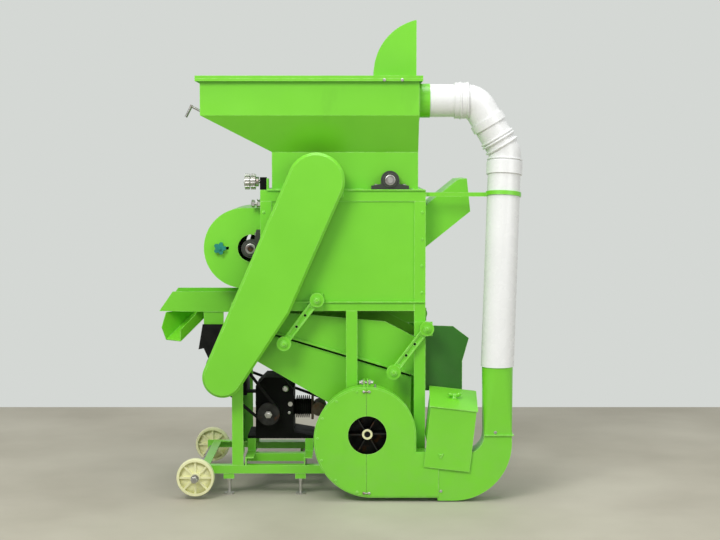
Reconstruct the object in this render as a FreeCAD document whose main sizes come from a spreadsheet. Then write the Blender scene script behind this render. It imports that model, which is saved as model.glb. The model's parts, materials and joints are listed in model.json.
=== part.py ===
import FreeCAD, Part
import math
import os
import re
import Sketcher

# Peanut sheller: a welded angle-iron frame on two wheels and screw feet carries a two-part hopper,
# two shelling drums over rod screens, a winnowing fan, a vibrating sieve on rocker arms with its own
# fan, and a blower that lifts unshelled nuts through a duct and a plastic pipe back to the hopper.
# Frame: +X towards the blower duct, +Y away from the belt-guard side, +Z up. The origin is on the
# floor under the middle of the overall box. All lengths in millimetres, angles in degrees.

doc = FreeCAD.newDocument("PeanutSheller")
sheet = doc.addObject("Spreadsheet::Sheet", "Sizes")

SIZES = {
    "overall frame": {
        "frame_half": 230, "frame_left": -261, "frame_right": 293, "frame_top": 1034,
        "leg_left": -360, "base_left": -466, "middle_post_right": 64,
        "angle_leg": 38, "angle_wall": 4, "rail_height": 28, "base_bottom": 74, "mid_bottom": 628,
        "engine_bed_left": -316, "engine_bed_right": -117, "tie_near": -141, "tie_far": 89, "stand_cross": 132,
        "bracket_plate": 5, "foot_left": -372, "foot_middle": -129, "foot_right": 270,
        "foot_plate": 36, "foot_drop": 18, "foot_screw": 6, "foot_pad": 17, "foot_pad_height": 6,
        "nut_flat": 10, "nut_height": 9,
    },
    "sheet metal": {"sheet_wall": 2.5, "panel_wall": 3, "seat_gap": 0.3, "running_gap": 0.05},
    "wheels": {
        "axle_x": -478, "axle_z": 74, "axle_radius": 8, "axle_half": 342, "wheel_radius": 63,
        "wheel_rim": 9, "wheel_width": 34, "wheel_track": 290, "hub_radius": 17, "spoke_width": 7,
        "spoke_count": 8, "axle_nut_height": 10, "axle_plate": 24,
    },
    "hopper": {
        "hopper_left": -456, "hopper_right": 269, "hopper_half": 270, "rim_top": 1411,
        "rim_flange": 15, "rim_thickness": 10, "band_bottom": 1281, "throat_left": -224,
        "throat_half": 188, "throat_top": 1161, "throat_flange": 12, "divider_x": 84,
        "divider_top": 1396,
        "hood_left": 120, "hood_half": 120, "hood_top": 1608, "hood_flange": 14,
        "stub_radius": 57, "stub_z": 1333, "stub_y": -180, "stub_length": 38,
        "gate_start": 70, "gate_length": 185, "gate_half": 180, "gate_wall": 3, "gate_stop": 42, "gate_rod": 4,
        "gate_rod_y": -60, "gate_grip": 58, "gate_sleeve": 0.8, "gate_reach": 70,
    },
    "bearings": {
        "bearing_height": 33.3, "bearing_length": 127, "bearing_width": 34, "bearing_base": 14,
        "bearing_boss": 31, "bearing_ring": 23.5, "bearing_ring_width": 38, "shaft_radius": 10,
        "bearing_bolts": 95, "bearing_bolt_radius": 6,
    },
    "drums": {
        "main_x": -72, "main_radius": 138, "second_x": 174, "second_radius": 64,
        "drum_half": 178, "drum_disc": 6, "drum_bar": 8, "main_bar_count": 8,
        "second_bar_count": 6, "hub_outer": 20,
        "screen_gap": 11, "screen_rod": 4, "screen_rim": 16, "screen_rim_width": 8,
        "main_rod_count": 19, "second_rod_count": 11, "screen_drop": 8,
    },
    "belt drive": {
        "guard_lane": -272, "inner_lane": -150, "lane_one": 276, "lane_two": 294,
        "pulley_width": 20, "belt_width": 13, "belt_depth": 9, "belt_seat": 0.4,
        "main_pulley": 80, "counter_pulley": 45, "counter_inner": 62, "engine_pulley": 38,
        "main_far": 58, "second_pulley": 44, "winnow_pulley": 40, "counter_far": 55,
        "blower_pulley": 35, "counter_z": 425,
        "guard_front": -300, "guard_depth": 54, "guard_top_radius": 95,
        "guard_foot_x": -385, "guard_foot_z": 411, "guard_foot_radius": 68,
        "guard_kink_x": -162, "guard_kink_z": 625, "guard_lip": 7, "guard_bevel": 8,
    },
    "winnowing fan": {
        "winnow_z": 837, "winnow_case_x": -319, "winnow_case_radius": 136, "winnow_case_half": 189,
        "winnow_inlet": 46, "winnow_radius": 108, "winnow_half": 160, "blade_wall": 3,
        "winnow_blades": 4, "shutter_half": 30, "shutter_travel": 25,
        "knob_x": -400, "knob_radius": 21, "knob_height": 16, "knob_bolt": 4, "knob_lobes": 5,
    },
    "outlets": {
        "shell_low": 832, "shell_high": 975, "shell_half": 150, "shell_reach": 159,
        "shell_rise": 128, "shell_mouth": 112,
        "return_top": 574, "return_reach": 150, "return_half": 178, "return_base": 350,
        "return_fold": 96, "return_lip": 530, "return_knee": 451, "return_inset": 22, "return_fall": 44,
    },
    "sieve": {
        "arm_length": 184, "arm_angle": 127.2, "arm_left_x": -71, "arm_left_z": 667,
        "arm_right_x": 297, "arm_right_z": 570, "arm_eye": 24, "arm_bar": 9, "arm_bar_wall": 8,
        "arm_near": 240, "arm_eye_width": 20, "arm_pin": 8, "arm_bush": 14, "pin_head": 12,
        "sieve_half": 185, "sieve_wall": 3, "sieve_left": -278, "sieve_right": 274,
        "sieve_low_left": 563, "sieve_low_right": 397, "sieve_top_left": 626,
        "sieve_knee_x": 158, "sieve_knee_z": 588, "sieve_top_right": 528,
        "sieve_flange": 14, "cross_bar": 12, "deck_wall": 3, "deck_rise": 26, "deck_rib": 6,
        "deck_rib_pitch": 36,
        "tray_tip": -623, "tray_top_left": -576, "tray_low": 612, "tray_height": 68,
        "tray_half": 80, "tray_low_right": -396,
        "spout_width": 74, "spout_height": 52, "spout_length": 112, "spout_turn": 50,
        "spout_slope": 41, "spout_x": -500, "spout_y": -16,
        "flap_left": -473, "flap_right": -400, "flap_top": 566, "flap_low": 432, "flap_bar": 22, "flap_wall": 3,
        "rod_end_x": -28, "rod_end_z": 497, "rod_eye": 18, "rod_bar": 10, "rod_wall": 12,
        "eccentric_throw": 5.6, "eccentric_radius": 20, "strap_gap": 9, "strap_wall": 9,
        "rod_plane": 242,
    },
    "blower": {
        "blower_z": 224, "volute_radius": 157, "volute_growth": 16, "blower_front": -330,
        "blower_back": -240, "outlet_x": 334, "outlet_height": 144, "volute_flange": 5,
        "blower_inlet": 64, "split_gap": 1, "blower_radius": 122, "blower_blades": 6,
        "blower_shaft_start": -276, "hub_radius_fan": 18, "impeller_half": 30,
        "wind_left": -288, "wind_low_left": 456, "wind_low_right": 276, "wind_right": 248,
        "wind_gap": 8, "wind_inset": 7, "wind_ear": 24, "scroll_radius": 106, "sieve_fan_radius": 88, "sieve_fan_half": 130,
        "wind_inlet": 70, "sieve_fan_blades": 4,
    },
    "lifting duct": {
        "elbow_outer": 192, "elbow_inner": 60, "duct_width": 92, "duct_right": 577, "elbow_drop": 15,
        "elbow_top": 222, "riser_top": 449, "spigot_length": 22, "duct_lip": 6,
        "pipe_radius": 55, "pipe_wall": 3.2, "socket_wall": 5, "socket_length": 38,
        "bend_one_x": 461, "bend_two_x": 561.5, "bend_two_z": 1164, "bend_radius": 57,
        "spigot_gap": 0.4, "inlet_pipe_length": 120,
        "stay_z": 1019, "stay_width": 14, "stay_wall": 4,
        "feeder_x": 284, "feeder_z": 119, "feeder_front": -338, "feeder_width": 153,
        "feeder_height": 204, "feeder_rise": 44, "feeder_depth": 146, "feeder_lean": 6.5,
        "feeder_cut": 86, "lid_overhang": 4, "lid_wall": 2.5,
        "lid_knuckle": 5, "lid_pin": 2.5, "lid_leaf": 28,
    },
    "engine": {
        "crank_x": -241, "crank_z": 264, "case_left": -288, "case_right": -158, "engine_lift": 42,
        "case_front": -112, "case_back": 60, "case_height": 212, "barrel_radius": 34,
        "barrel_length": 60, "fin_count": 7, "fin_wall": 3, "fin_depth": 7,
        "starter_radius": 60, "starter_depth": 62, "tank_left": -440, "tank_width": 118,
        "tank_bottom": 318, "tank_height": 62, "tank_half": 80, "muffler_radius": 24,
        "muffler_length": 96, "crank_radius": 10,
    },
    "adjuster": {
        "adjuster_z": 1061, "adjuster_y": -150, "adjuster_radius": 27, "adjuster_disc": 16,
        "adjuster_screw": 6, "adjuster_reach": 62, "adjuster_block": 30, "adjuster_block_depth": 22,
    },
}

row = 0
ALIASES = set()
for group, values in SIZES.items():
    row += 1
    sheet.set(f"A{row}", group)
    for alias, value in values.items():
        row += 1
        sheet.set(f"A{row}", alias.replace("_", " "))
        sheet.set(f"B{row}", str(value))
        sheet.setAlias(f"B{row}", alias)
        ALIASES.add(alias)
doc.recompute()

NODES = {}


def bind(text):
    """An expression written with bare size names, pointed at the sheet's cells."""
    return re.sub(r"[A-Za-z_]+", lambda m: f"Sizes.{m[0]}" if m[0] in ALIASES else m[0], str(text))


def value(text):
    """The number that an expression gives with the sheet's present sizes."""
    result = sheet.evalExpression(bind(text))
    return float(getattr(result, "Value", result))


def node(name, thing):
    """Keep a finished sub-part under its own name."""
    thing.Label = name
    NODES[name] = thing
    return thing


def place(thing, x="0", y="0", z="0", axis=None, angle="0"):
    """Bind a sub-part's Placement to the sheet."""
    if axis is not None:
        thing.Placement = FreeCAD.Placement(FreeCAD.Vector(), FreeCAD.Rotation(FreeCAD.Vector(*axis), value(angle)))
        thing.setExpression("Placement.Rotation.Angle", bind(angle))
    for letter, text in (("x", x), ("y", y), ("z", z)):
        thing.setExpression(f"Placement.Base.{letter}", bind(text))
    return thing


def new_body(name):
    body = doc.addObject("PartDesign::Body", "Body_" + name)
    body.Label = name
    return body


def sketch(body, plane, loops, offset="0"):
    """A fully constrained sketch: a loop is a list of points, or a circle ("o", u, v, radius)."""
    draft = body.newObject("Sketcher::SketchObject", "Sketch")
    face = next(f for f in body.Origin.OriginFeatures if f.Role == plane + "_Plane")
    draft.AttachmentSupport = [(face, "")]
    draft.MapMode = "FlatFace"
    sign = "-" if plane == "XZ" else ""
    draft.setExpression("AttachmentOffset.Base.z", bind(f"{sign}({offset})"))

    def pin(index, point, u, v):
        for kind, text in (("DistanceX", u), ("DistanceY", v)):
            at = draft.addConstraint(Sketcher.Constraint(kind, -1, 1, index, point, value(text)))
            draft.setExpression(f"Constraints[{at}]", bind(text))

    for loop in loops:
        if loop[0] == "o":
            u, v, radius = loop[1:]
            centre = FreeCAD.Vector(value(u), value(v), 0)
            index = draft.addGeometry(Part.Circle(centre, FreeCAD.Vector(0, 0, 1), value(radius)))
            at = draft.addConstraint(Sketcher.Constraint("Radius", index, value(radius)))
            draft.setExpression(f"Constraints[{at}]", bind(radius))
            pin(index, 3, u, v)
            continue
        first = draft.GeometryCount
        spots = [FreeCAD.Vector(value(u), value(v), 0) for u, v in loop]
        count = len(spots)
        for i in range(count):
            draft.addGeometry(Part.LineSegment(spots[i], spots[(i + 1) % count]))
        for i in range(count):
            follower = first + (i + 1) % count
            draft.addConstraint(Sketcher.Constraint("Coincident", first + i, 2, follower, 1))
        for i, (u, v) in enumerate(loop):
            pin(first + i, 1, u, v)
    return draft


def pad(body, plane, loops, start, end, cut=False):
    """Raise (or cut) a sketch from start to end along the plane's world axis."""
    if cut:
        doc.recompute()
    before = body.Tip.Shape.Volume if cut else 0
    draft = sketch(body, plane, loops, start)
    feature = body.newObject("PartDesign::Pocket" if cut else "PartDesign::Pad", "Cut" if cut else "Pad")
    feature.Profile = draft
    feature.setExpression("Length", bind(f"({end}) - ({start})"))
    feature.Reversed = (plane == "XZ") != cut
    feature.Refine = False
    if cut:
        doc.recompute()
        if feature.Shape.Volume >= before:
            raise ValueError(f"a cut in {body.Label} removes nothing")
    return feature


def pattern(body, features, count, axis="Y_Axis"):
    """Repeat features about one of the body's axes."""
    line = next(f for f in body.Origin.OriginFeatures if f.Role == axis)
    polar = body.newObject("PartDesign::PolarPattern", "Polar")
    polar.Originals = features
    polar.Axis = (line, [""])
    polar.Angle = 360
    polar.setExpression("Occurrences", bind(count))
    body.Tip = polar
    return polar


def revolve(body, loop, plane="XY", axis="V_Axis"):
    draft = sketch(body, plane, [loop])
    turn = body.newObject("PartDesign::Revolution", "Turn")
    turn.Profile = draft
    turn.ReferenceAxis = (draft, [axis])
    turn.Angle = 360
    return turn


def rectangle(u0, u1, v0, v1):
    return [(u0, v0), (u1, v0), (u1, v1), (u0, v1)]


def prism(name, plane, loops, start, end):
    body = new_body(name)
    pad(body, plane, loops, start, end)
    return body


def mirrored(name, source):
    """The far-side twin of a near-side piece."""
    twin = doc.addObject("Part::Mirroring", "Twin_" + name)
    twin.Source = source
    twin.Normal = FreeCAD.Vector(0, 1, 0)
    twin.Label = name
    return twin


def gather(name, things):
    """Several separate solids in one node."""
    whole = doc.addObject("Part::Compound", "Group_" + name)
    whole.Links = things
    return node(name, whole)


def angle_iron(name, axis, corner, start, end, turn_u, turn_v, leg="angle_leg"):
    """An L-section along an axis: its corner, and the way each leg points from it."""
    plane = {"X": "YZ", "Y": "XZ", "Z": "XY"}[axis]
    u, v = corner
    far_u, far_v = f"{u} + ({turn_u}) * {leg}", f"{v} + ({turn_v}) * {leg}"
    wall_u, wall_v = f"{u} + ({turn_u}) * angle_wall", f"{v} + ({turn_v}) * angle_wall"
    loop = [(u, v), (far_u, v), (far_u, wall_v), (wall_u, wall_v), (wall_u, far_v), (u, far_v)]
    return prism(name, plane, [loop], start, end)


def rod(name, x, z, start, end, radius):
    """A round bar along Y."""
    return prism(name, "XZ", [("o", x, z, radius)], start, end)


def feature(name, shape):
    """A sub-part whose form is built by shape functions from the sheet's sizes."""
    made = doc.addObject("Part::Feature", "Shape_" + name)
    made.Shape = shape
    return made


def vec(x, y, z):
    return FreeCAD.Vector(x, y, z)


# Welded frame

BASE_TOP = "base_bottom + rail_height"
MID_TOP = "mid_bottom + rail_height"
POST_TOP = "frame_top - angle_leg"
INNER = "frame_half - angle_leg"
LOW_INNER = "frame_half - rail_height"


def make_frame():
    near = "-frame_half"
    posts = [
        angle_iron("post_right", "Z", ("frame_right", near), BASE_TOP, POST_TOP, -1, 1),
        angle_iron("post_left", "Z", ("frame_left", near), MID_TOP, POST_TOP, 1, 1),
        angle_iron("leg_left_side", "Z", ("leg_left", near), BASE_TOP, "mid_bottom", 1, 1),
        angle_iron("post_middle", "Z", ("middle_post_right", near), BASE_TOP, "mid_bottom", -1, 1),
    ]
    gather("frame_posts", posts + [mirrored(p.Label + "_far", p) for p in posts])
    post_side = "frame_right - angle_leg"
    low = "rail_height"
    base = angle_iron("rail_base", "X", (near, BASE_TOP), "base_left", "frame_right", 1, -1, low)
    plate = rectangle("base_left - axle_plate", "base_left", "axle_z - axle_plate", BASE_TOP)
    pad(base, "XZ", [plate, ("o", "axle_x", "axle_z", "axle_radius + seat_gap")],
        near, "-frame_half + bracket_plate")
    for spot in ("foot_left", "foot_middle", "foot_right"):
        foot = rectangle(f"{spot} - foot_plate / 2", f"{spot} + foot_plate / 2",
                         "base_bottom - foot_drop", f"{BASE_TOP} - angle_wall / 2")
        pad(base, "XZ", [foot], "-frame_half + angle_wall / 2", "-frame_half + bracket_plate")
        shelf = rectangle(f"{spot} - foot_plate / 2", f"{spot} + foot_plate / 2",
                          "base_bottom - foot_drop", "base_bottom - foot_drop + bracket_plate")
        pad(base, "XZ", [shelf], "-frame_half + angle_wall / 2", "-frame_half + foot_plate")
        hole = ("o", spot, "-frame_half + foot_plate / 2 + 2", "foot_screw + seat_gap")
        pad(base, "XY", [hole], "base_bottom - foot_drop - 1", "base_bottom", cut=True)
    rails = [
        angle_iron("rail_top", "X", (near, "frame_top"), "frame_left", "frame_right", 1, -1),
        angle_iron("rail_middle", "X", (near, MID_TOP), "leg_left", post_side, 1, -1, low),
        base,
    ]
    bed_top = f"{BASE_TOP} + rail_height"
    cross = [
        angle_iron("cross_top_left", "Y", ("frame_left", "frame_top"), f"-({INNER})", INNER, 1, -1),
        angle_iron("cross_top_right", "Y", ("frame_right", "frame_top"), f"-({INNER})", INNER, -1, -1),
        angle_iron("cross_mid_right", "Y", (post_side, MID_TOP), f"-({LOW_INNER})", LOW_INNER, 1, -1, low),
        angle_iron("cross_base_left", "Y", ("base_left", BASE_TOP), f"-({LOW_INNER})", LOW_INNER, 1, -1, low),
        angle_iron("cross_base_mid", "Y", ("stand_cross", BASE_TOP), f"-({LOW_INNER})", LOW_INNER, 1, -1, low),
        angle_iron("cross_base_right", "Y", ("frame_right", BASE_TOP), f"-({LOW_INNER})", LOW_INNER, -1, -1, low),
        angle_iron("engine_bed_one", "Y", ("engine_bed_left", bed_top), near, "frame_half", 1, -1, low),
        angle_iron("engine_bed_two", "Y", ("engine_bed_right", bed_top), near, "frame_half", 1, -1, low),
    ]
    tie_top, tie_left = f"{bed_top} - angle_wall", "engine_bed_left + angle_wall"
    for name, y, turn in (("near", "tie_near", 1), ("far", "tie_far", -1)):
        cross.append(angle_iron(f"engine_tie_{name}", "X", (y, tie_top), tie_left, "engine_bed_right", turn, -1, low))
    for i, x in enumerate(("engine_bed_left", "engine_bed_right")):
        for y, turn in (("case_front", 1), ("case_back", -1)):
            cross.append(angle_iron(f"engine_post_{i}_{y}", "Z", (x, y), bed_top, f"{bed_top} + engine_lift", 1, turn, low))
    gather("frame_rails", rails + [mirrored(r.Label + "_far", r) for r in rails] + cross)


def make_feet():
    feet = []
    for i, spot in enumerate(("foot_left", "foot_middle", "foot_right")):
        foot = new_body(f"foot_{i}")
        y = "-frame_half + foot_plate / 2 + 2"
        shelf = "base_bottom - foot_drop"
        pad(foot, "XY", [("o", spot, y, "foot_screw")], "0", f"{shelf} + bracket_plate + nut_height + 4")
        pad(foot, "XY", [("o", spot, y, "foot_pad")], "0", "foot_pad_height")
        for low in (f"{shelf} + bracket_plate", f"{shelf} - nut_height"):
            nut = [(f"{spot} + nut_flat * {math.cos(a):.4f}", f"{y} + nut_flat * {math.sin(a):.4f}")
                   for a in (math.radians(60 * k) for k in range(6))]
            pad(foot, "XY", [nut], low, f"{low} + nut_height")
        feet.append(foot)
    gather("screw_feet", feet + [mirrored(f.Label + "_far", f) for f in feet])


def make_wheels():
    axle = new_body("wheel_axle")
    pad(axle, "XZ", [("o", "axle_x", "axle_z", "axle_radius")], "-axle_half", "axle_half")
    collar = "wheel_track - wheel_width / 2 - seat_gap"
    for low, high in ((f"-({collar})", "-frame_half - seat_gap"), ("frame_half + seat_gap", collar)):
        pad(axle, "XZ", [("o", "axle_x", "axle_z", "axle_radius + 3")], low, high)
    nut_start = "wheel_track + wheel_width / 2 + seat_gap"
    for low, high in ((f"-({nut_start}) - axle_nut_height", f"-({nut_start})"),
                      (nut_start, f"{nut_start} + axle_nut_height")):
        pad(axle, "XZ", [("o", "axle_x", "axle_z", "axle_radius + 5")], low, high)
    node("wheel_axle", axle)
    for name, y in (("wheel_near", "-wheel_track"), ("wheel_far", "wheel_track")):
        wheel = new_body(name)
        bore = "axle_radius + running_gap"
        half = "wheel_width / 2"
        revolve(wheel, [(bore, f"-{half}"), ("hub_radius", f"-{half}"), ("hub_radius", half), (bore, half)])
        rim = "wheel_radius - wheel_rim"
        revolve(wheel, [(rim, f"-{half} + 3"), ("wheel_radius - 2", f"-{half} + 3"),
                        ("wheel_radius", f"-{half} + 7"), ("wheel_radius", f"{half} - 7"),
                        ("wheel_radius - 2", f"{half} - 3"), (rim, f"{half} - 3")])
        web = rectangle("hub_radius - 2", f"{rim} + 2", "-spoke_width / 2", "spoke_width / 2")
        spoke = pad(wheel, "XZ", [web], "-wheel_width / 4", "wheel_width / 4")
        pattern(wheel, [spoke], "spoke_count")
        node(name, place(wheel, "axle_x", y, "axle_z"))


# Panels and hopper

def make_panels():
    inside = "angle_wall"
    near = prism("panel_near", "XZ", [rectangle(
        f"frame_left + {inside}", f"frame_right - {inside}", f"{MID_TOP}", f"{POST_TOP} + 26")],
        f"-frame_half + {inside}", f"-frame_half + {inside} + panel_wall")
    left = new_body("panel_left")
    reach = "frame_half - angle_wall - panel_wall - seat_gap"
    x = "frame_left + angle_wall + seat_gap"
    pad(left, "YZ", [rectangle(f"-({reach})", reach, MID_TOP, f"{POST_TOP} - 2"),
                     rectangle("-winnow_case_half + 8", "winnow_case_half - 8",
                               "winnow_z - winnow_case_radius + 6", "winnow_z + winnow_case_radius - 6")],
        x, f"{x} + panel_wall")
    x = "frame_right - angle_wall - seat_gap - panel_wall"
    right = new_body("panel_right")
    pad(right, "YZ", [rectangle(f"-({reach})", reach, MID_TOP, f"{POST_TOP} - 2"),
                      rectangle("-shell_half + 4", "shell_half - 4", "shell_low + 4", "shell_high - 4")],
        x, f"{x} + panel_wall")
    gather("body_panels", [near, mirrored("panel_far", near), left, right])


def ring_loops(left, right, half, wall):
    outer = rectangle(left, right, f"-({half})", half)
    inner = rectangle(f"{left} + {wall}", f"{right} - {wall}", f"-({half}) + {wall}", f"{half} - {wall}")
    return [outer, inner]


def loft(body, low, high, low_z, high_z, cut=False):
    """A straight-sided funnel between two rectangles, added or cut."""
    first = sketch(body, "XY", [rectangle(*low)], low_z)
    second = sketch(body, "XY", [rectangle(*high)], high_z)
    made = body.newObject("PartDesign::SubtractiveLoft" if cut else "PartDesign::AdditiveLoft", "Loft")
    made.Profile = first
    made.Sections = [second]
    made.Ruled = True
    return made


def make_hopper():
    hopper = new_body("hopper")
    wall = "sheet_wall"
    loft(hopper, ("throat_left", "hopper_right", "-throat_half", "throat_half"),
         ("hopper_left", "hopper_right", "-hopper_half", "hopper_half"), "throat_top", "band_bottom")
    pad(hopper, "XY", [rectangle("hopper_left", "hopper_right", "-hopper_half", "hopper_half")],
        "band_bottom", "rim_top")
    pad(hopper, "XY", [rectangle("hopper_left - rim_flange", "hopper_right + rim_flange - 3",
                                 "-hopper_half - rim_flange", "hopper_half + rim_flange")],
        "rim_top - rim_thickness", "rim_top")
    pad(hopper, "XY", [rectangle(f"hopper_left + {wall}", f"hopper_right - {wall}",
                                 f"-hopper_half + {wall}", f"hopper_half - {wall}")],
        "band_bottom", "rim_top + 1", cut=True)
    loft(hopper, (f"throat_left + {wall}", f"hopper_right - {wall}",
                  f"-throat_half + {wall}", f"throat_half - {wall}"),
         (f"hopper_left + {wall}", f"hopper_right - {wall}",
          f"-hopper_half + {wall}", f"hopper_half - {wall}"), "throat_top", "band_bottom", cut=True)
    pad(hopper, "YZ", [("o", "stub_y", "stub_z", "pipe_radius")], "hopper_right - 20",
        "hopper_right + 20", cut=True)
    slot = rectangle("gate_rod_y - gate_rod - 3", "gate_rod_y + gate_rod + 3",
                     "band_bottom + 3", "band_bottom + 24")
    pad(hopper, "YZ", [slot], "hopper_left - 20", "hopper_left + 12", cut=True)
    node("hopper", hopper)

    throat = new_body("hopper_throat")
    pad(throat, "XY", ring_loops("throat_left", "hopper_right", "throat_half", wall),
        "frame_top", "throat_top - seat_gap")
    flange = ring_loops("throat_left - throat_flange", "hopper_right + throat_flange", "throat_half + 3", "3")
    flange[1] = rectangle("throat_left + 1", "hopper_right - 1", "-throat_half + 1", "throat_half - 1")
    pad(throat, "XY", flange, "frame_top", "frame_top + 3")
    axis = "frame_top + bearing_height"
    for x in ("main_x", "second_x"):
        pad(throat, "XZ", [("o", x, axis, "shaft_radius + 4")], "-throat_half - 4", "throat_half + 4", cut=True)
    node("hopper_throat", throat)

    divider = new_body("hopper_divider")
    gap = "seat_gap"
    x0, x1 = "divider_x", "divider_x + panel_wall"
    low = f"frame_top + bearing_height + second_radius - 14"
    inside = f"throat_half - {wall} - {gap}"
    top_inside = f"hopper_half - {wall} - {gap}"
    loop = [(f"-({inside})", low), (inside, low), (inside, "throat_top"), (top_inside, "band_bottom"),
            (top_inside, "divider_top"), (f"-({top_inside})", "divider_top"),
            (f"-({top_inside})", "band_bottom"), (f"-({inside})", "throat_top")]
    pad(divider, "YZ", [loop], x0, x1)
    node("hopper_divider", divider)


def make_hood():
    """A quarter-round sheet hood over the return side: two cheeks, a bent top sheet and a flange."""
    left, right = value("hood_left"), value("hopper_right") - 4
    low, high = value("rim_top") + value("seat_gap"), value("hood_top")
    half, wall = value("hood_half"), value("sheet_wall")

    def solid(inset, back, y0, y1):
        """The side outline: up the bent sheet by a round arc, then down at the back."""
        x0, x1, z1 = left + inset, right - back, high - inset
        bulge = vec(x0 + (right - x0) * 0.25, 0, low + (z1 - low) * 0.645)
        foot, crest = vec(x0, 0, low), vec(right, 0, z1)
        arc = Part.Arc(foot, bulge, crest).toShape()
        edges = [arc, Part.LineSegment(crest, vec(right, 0, low)).toShape(),
                 Part.LineSegment(vec(right, 0, low), foot).toShape()]
        face = Part.Face(Part.Wire(Part.__sortEdges__(edges)))
        face.translate(vec(0, y0, 0))
        body = face.extrude(vec(0, y1 - y0, 0))
        if back:
            body = body.cut(Part.makeBox(back + 1, y1 - y0 + 2, z1 - low + 2, vec(x1, y0 - 1, low - 1)))
        return body

    outer = solid(0, 0, -half, half)
    inner = solid(wall, wall, -half + wall, half - wall)
    lip = value("hood_flange")
    flange = Part.makeBox(right - left + 2 * lip, 2 * (half + lip), wall, vec(left - lip, -half - lip, low))
    hollow = Part.makeBox(right - left - 2 * wall, 2 * (half - wall), 4 * wall,
                          vec(left + wall, -half + wall, low - wall))
    node("return_hood", feature("return_hood", outer.fuse(flange).cut(inner).cut(hollow)))


def make_gate():
    """The feed gate: a plate that lies on the sloping floor, with a bent pull rod through the wall."""
    body = new_body("feed_gate")
    length, half, wall = "gate_length", "gate_half", "gate_wall"
    start, rod_z = "gate_start", "gate_wall + gate_rod + 1"
    pad(body, "XZ", [rectangle(start, f"{start} + {length}", "0", wall)], f"-{half}", half)
    pad(body, "XZ", [rectangle(start, f"{start} + {wall}", "0", "gate_grip / 2")], f"-{half}", half)
    pad(body, "YZ", [("o", "gate_rod_y", rod_z, "gate_rod")], "-gate_reach - 40", f"{start} + 1")
    pad(body, "XY", [("o", "-gate_reach - 40", "gate_rod_y", "gate_rod + gate_sleeve")],
        f"{rod_z} - gate_grip / 1.4", f"{rod_z} + gate_rod + gate_sleeve")
    slope = "atan((band_bottom - throat_top) / (throat_left - hopper_left))"
    place(body, "hopper_left + gate_stop", "0",
          f"band_bottom - (gate_stop - sheet_wall) * tan({slope}) + seat_gap / cos({slope})", (0, 1, 0), slope)
    node("feed_gate", body)


# Shafts, bearings and drums

def pillow_bearing():
    """A cast pillow block with a proud insert ring, shaft along Y, seat at the bottom."""
    block = new_body("pillow_master")
    half = "bearing_width / 2"
    foot = "-bearing_height"
    loop = [("-bearing_length / 2", foot), ("bearing_length / 2", foot),
            ("bearing_length / 2", f"{foot} + bearing_base"), ("bearing_boss", f"{foot} + bearing_base + 6"),
            ("bearing_boss", "0"), ("-bearing_boss", "0"), ("-bearing_boss", f"{foot} + bearing_base + 6"),
            ("-bearing_length / 2", f"{foot} + bearing_base")]
    pad(block, "XZ", [loop], f"-{half} + 3", f"{half} - 3")
    pad(block, "XZ", [("o", "0", "0", "bearing_boss")], f"-{half} + 3", f"{half} - 3")
    pad(block, "XZ", [("o", "0", "0", "bearing_ring")], "-bearing_ring_width / 2", "bearing_ring_width / 2")
    pad(block, "XZ", [("o", "0", "0", "shaft_radius + running_gap")], "-bearing_ring_width",
        "bearing_ring_width", cut=True)
    for side in ("-1", "1"):
        pad(block, "XY", [("o", f"{side} * bearing_bolts / 2", "0", "bearing_bolt_radius")],
            f"{foot} - 1", "0", cut=True)
    return block


def turned_copy(name, source, x, z, angle):
    """Two blocks of one shaft, near and far, their seats turned about the shaft."""
    made = []
    for side, y in (("near", "-frame_half + bearing_ring_width / 2"), ("far", "frame_half - bearing_ring_width / 2")):
        holder = doc.addObject("Part::Compound", f"Block_{name}_{side}")
        holder.Links = [source]
        made.append(place(holder, x, y, z, (0, 1, 0), angle))
    return made


WINNOW_X = "frame_left - bearing_height"
COUNTER_X = "leg_left - bearing_height"
BLOWER_X = "middle_post_right + bearing_height"
DRUM_Z = "frame_top + bearing_height"


def make_bearings():
    master = pillow_bearing()
    blocks = []
    blocks += turned_copy("main", master, "main_x", DRUM_Z, "0")
    blocks += turned_copy("second", master, "second_x", DRUM_Z, "0")
    blocks += turned_copy("winnow", master, WINNOW_X, "winnow_z", "-90")
    blocks += turned_copy("counter", master, COUNTER_X, "counter_z", "-90")
    blocks += turned_copy("blower", master, BLOWER_X, "blower_z", "90")
    gather("pillow_bearings", blocks)


def drum(name, x, radius, bars, low, high, loose=False):
    """A shaft with three welded discs that carry round beater bars."""
    body = new_body(name)
    pad(body, "XZ", [("o", "0", "0", "shaft_radius")], low, high)
    for y in ("-drum_half", "-drum_disc / 2", "drum_half - drum_disc"):
        pad(body, "XZ", [("o", "0", "0", f"{radius} - drum_bar")], y, f"{y} + drum_disc")
    for y in ("-drum_half - 1", "drum_half - drum_disc - 12"):
        pad(body, "XZ", [("o", "0", "0", "hub_outer")], y, f"{y} + drum_disc + 13")
    if loose:
        notch = pad(body, "XZ", [("o", f"{radius} - drum_bar", "0", "drum_bar + seat_gap")],
                    "-drum_half - 2", "drum_half + 2", cut=True)
        pattern(body, [notch], bars)
        return node(name, place(body, x, "0", DRUM_Z))
    bar = pad(body, "XZ", [("o", f"{radius} - drum_bar", "0", "drum_bar")], "-drum_half", "drum_half")
    pattern(body, [bar], bars)
    return node(name, place(body, x, "0", DRUM_Z))


def beaters(name, x, radius, bars):
    """The beater bars of a drum, each a straight round bar in the notches of its discs."""
    made = []
    for i in range(int(value(bars))):
        turn = f"{i} * 360 / {bars}"
        spot = (f"{x} + ({radius} - drum_bar) * cos({turn})", f"{DRUM_Z} + ({radius} - drum_bar) * sin({turn})")
        made.append(rod(f"{name}_{i}", *spot, "-drum_half", "drum_half", "drum_bar"))
    gather(name, made)


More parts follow.
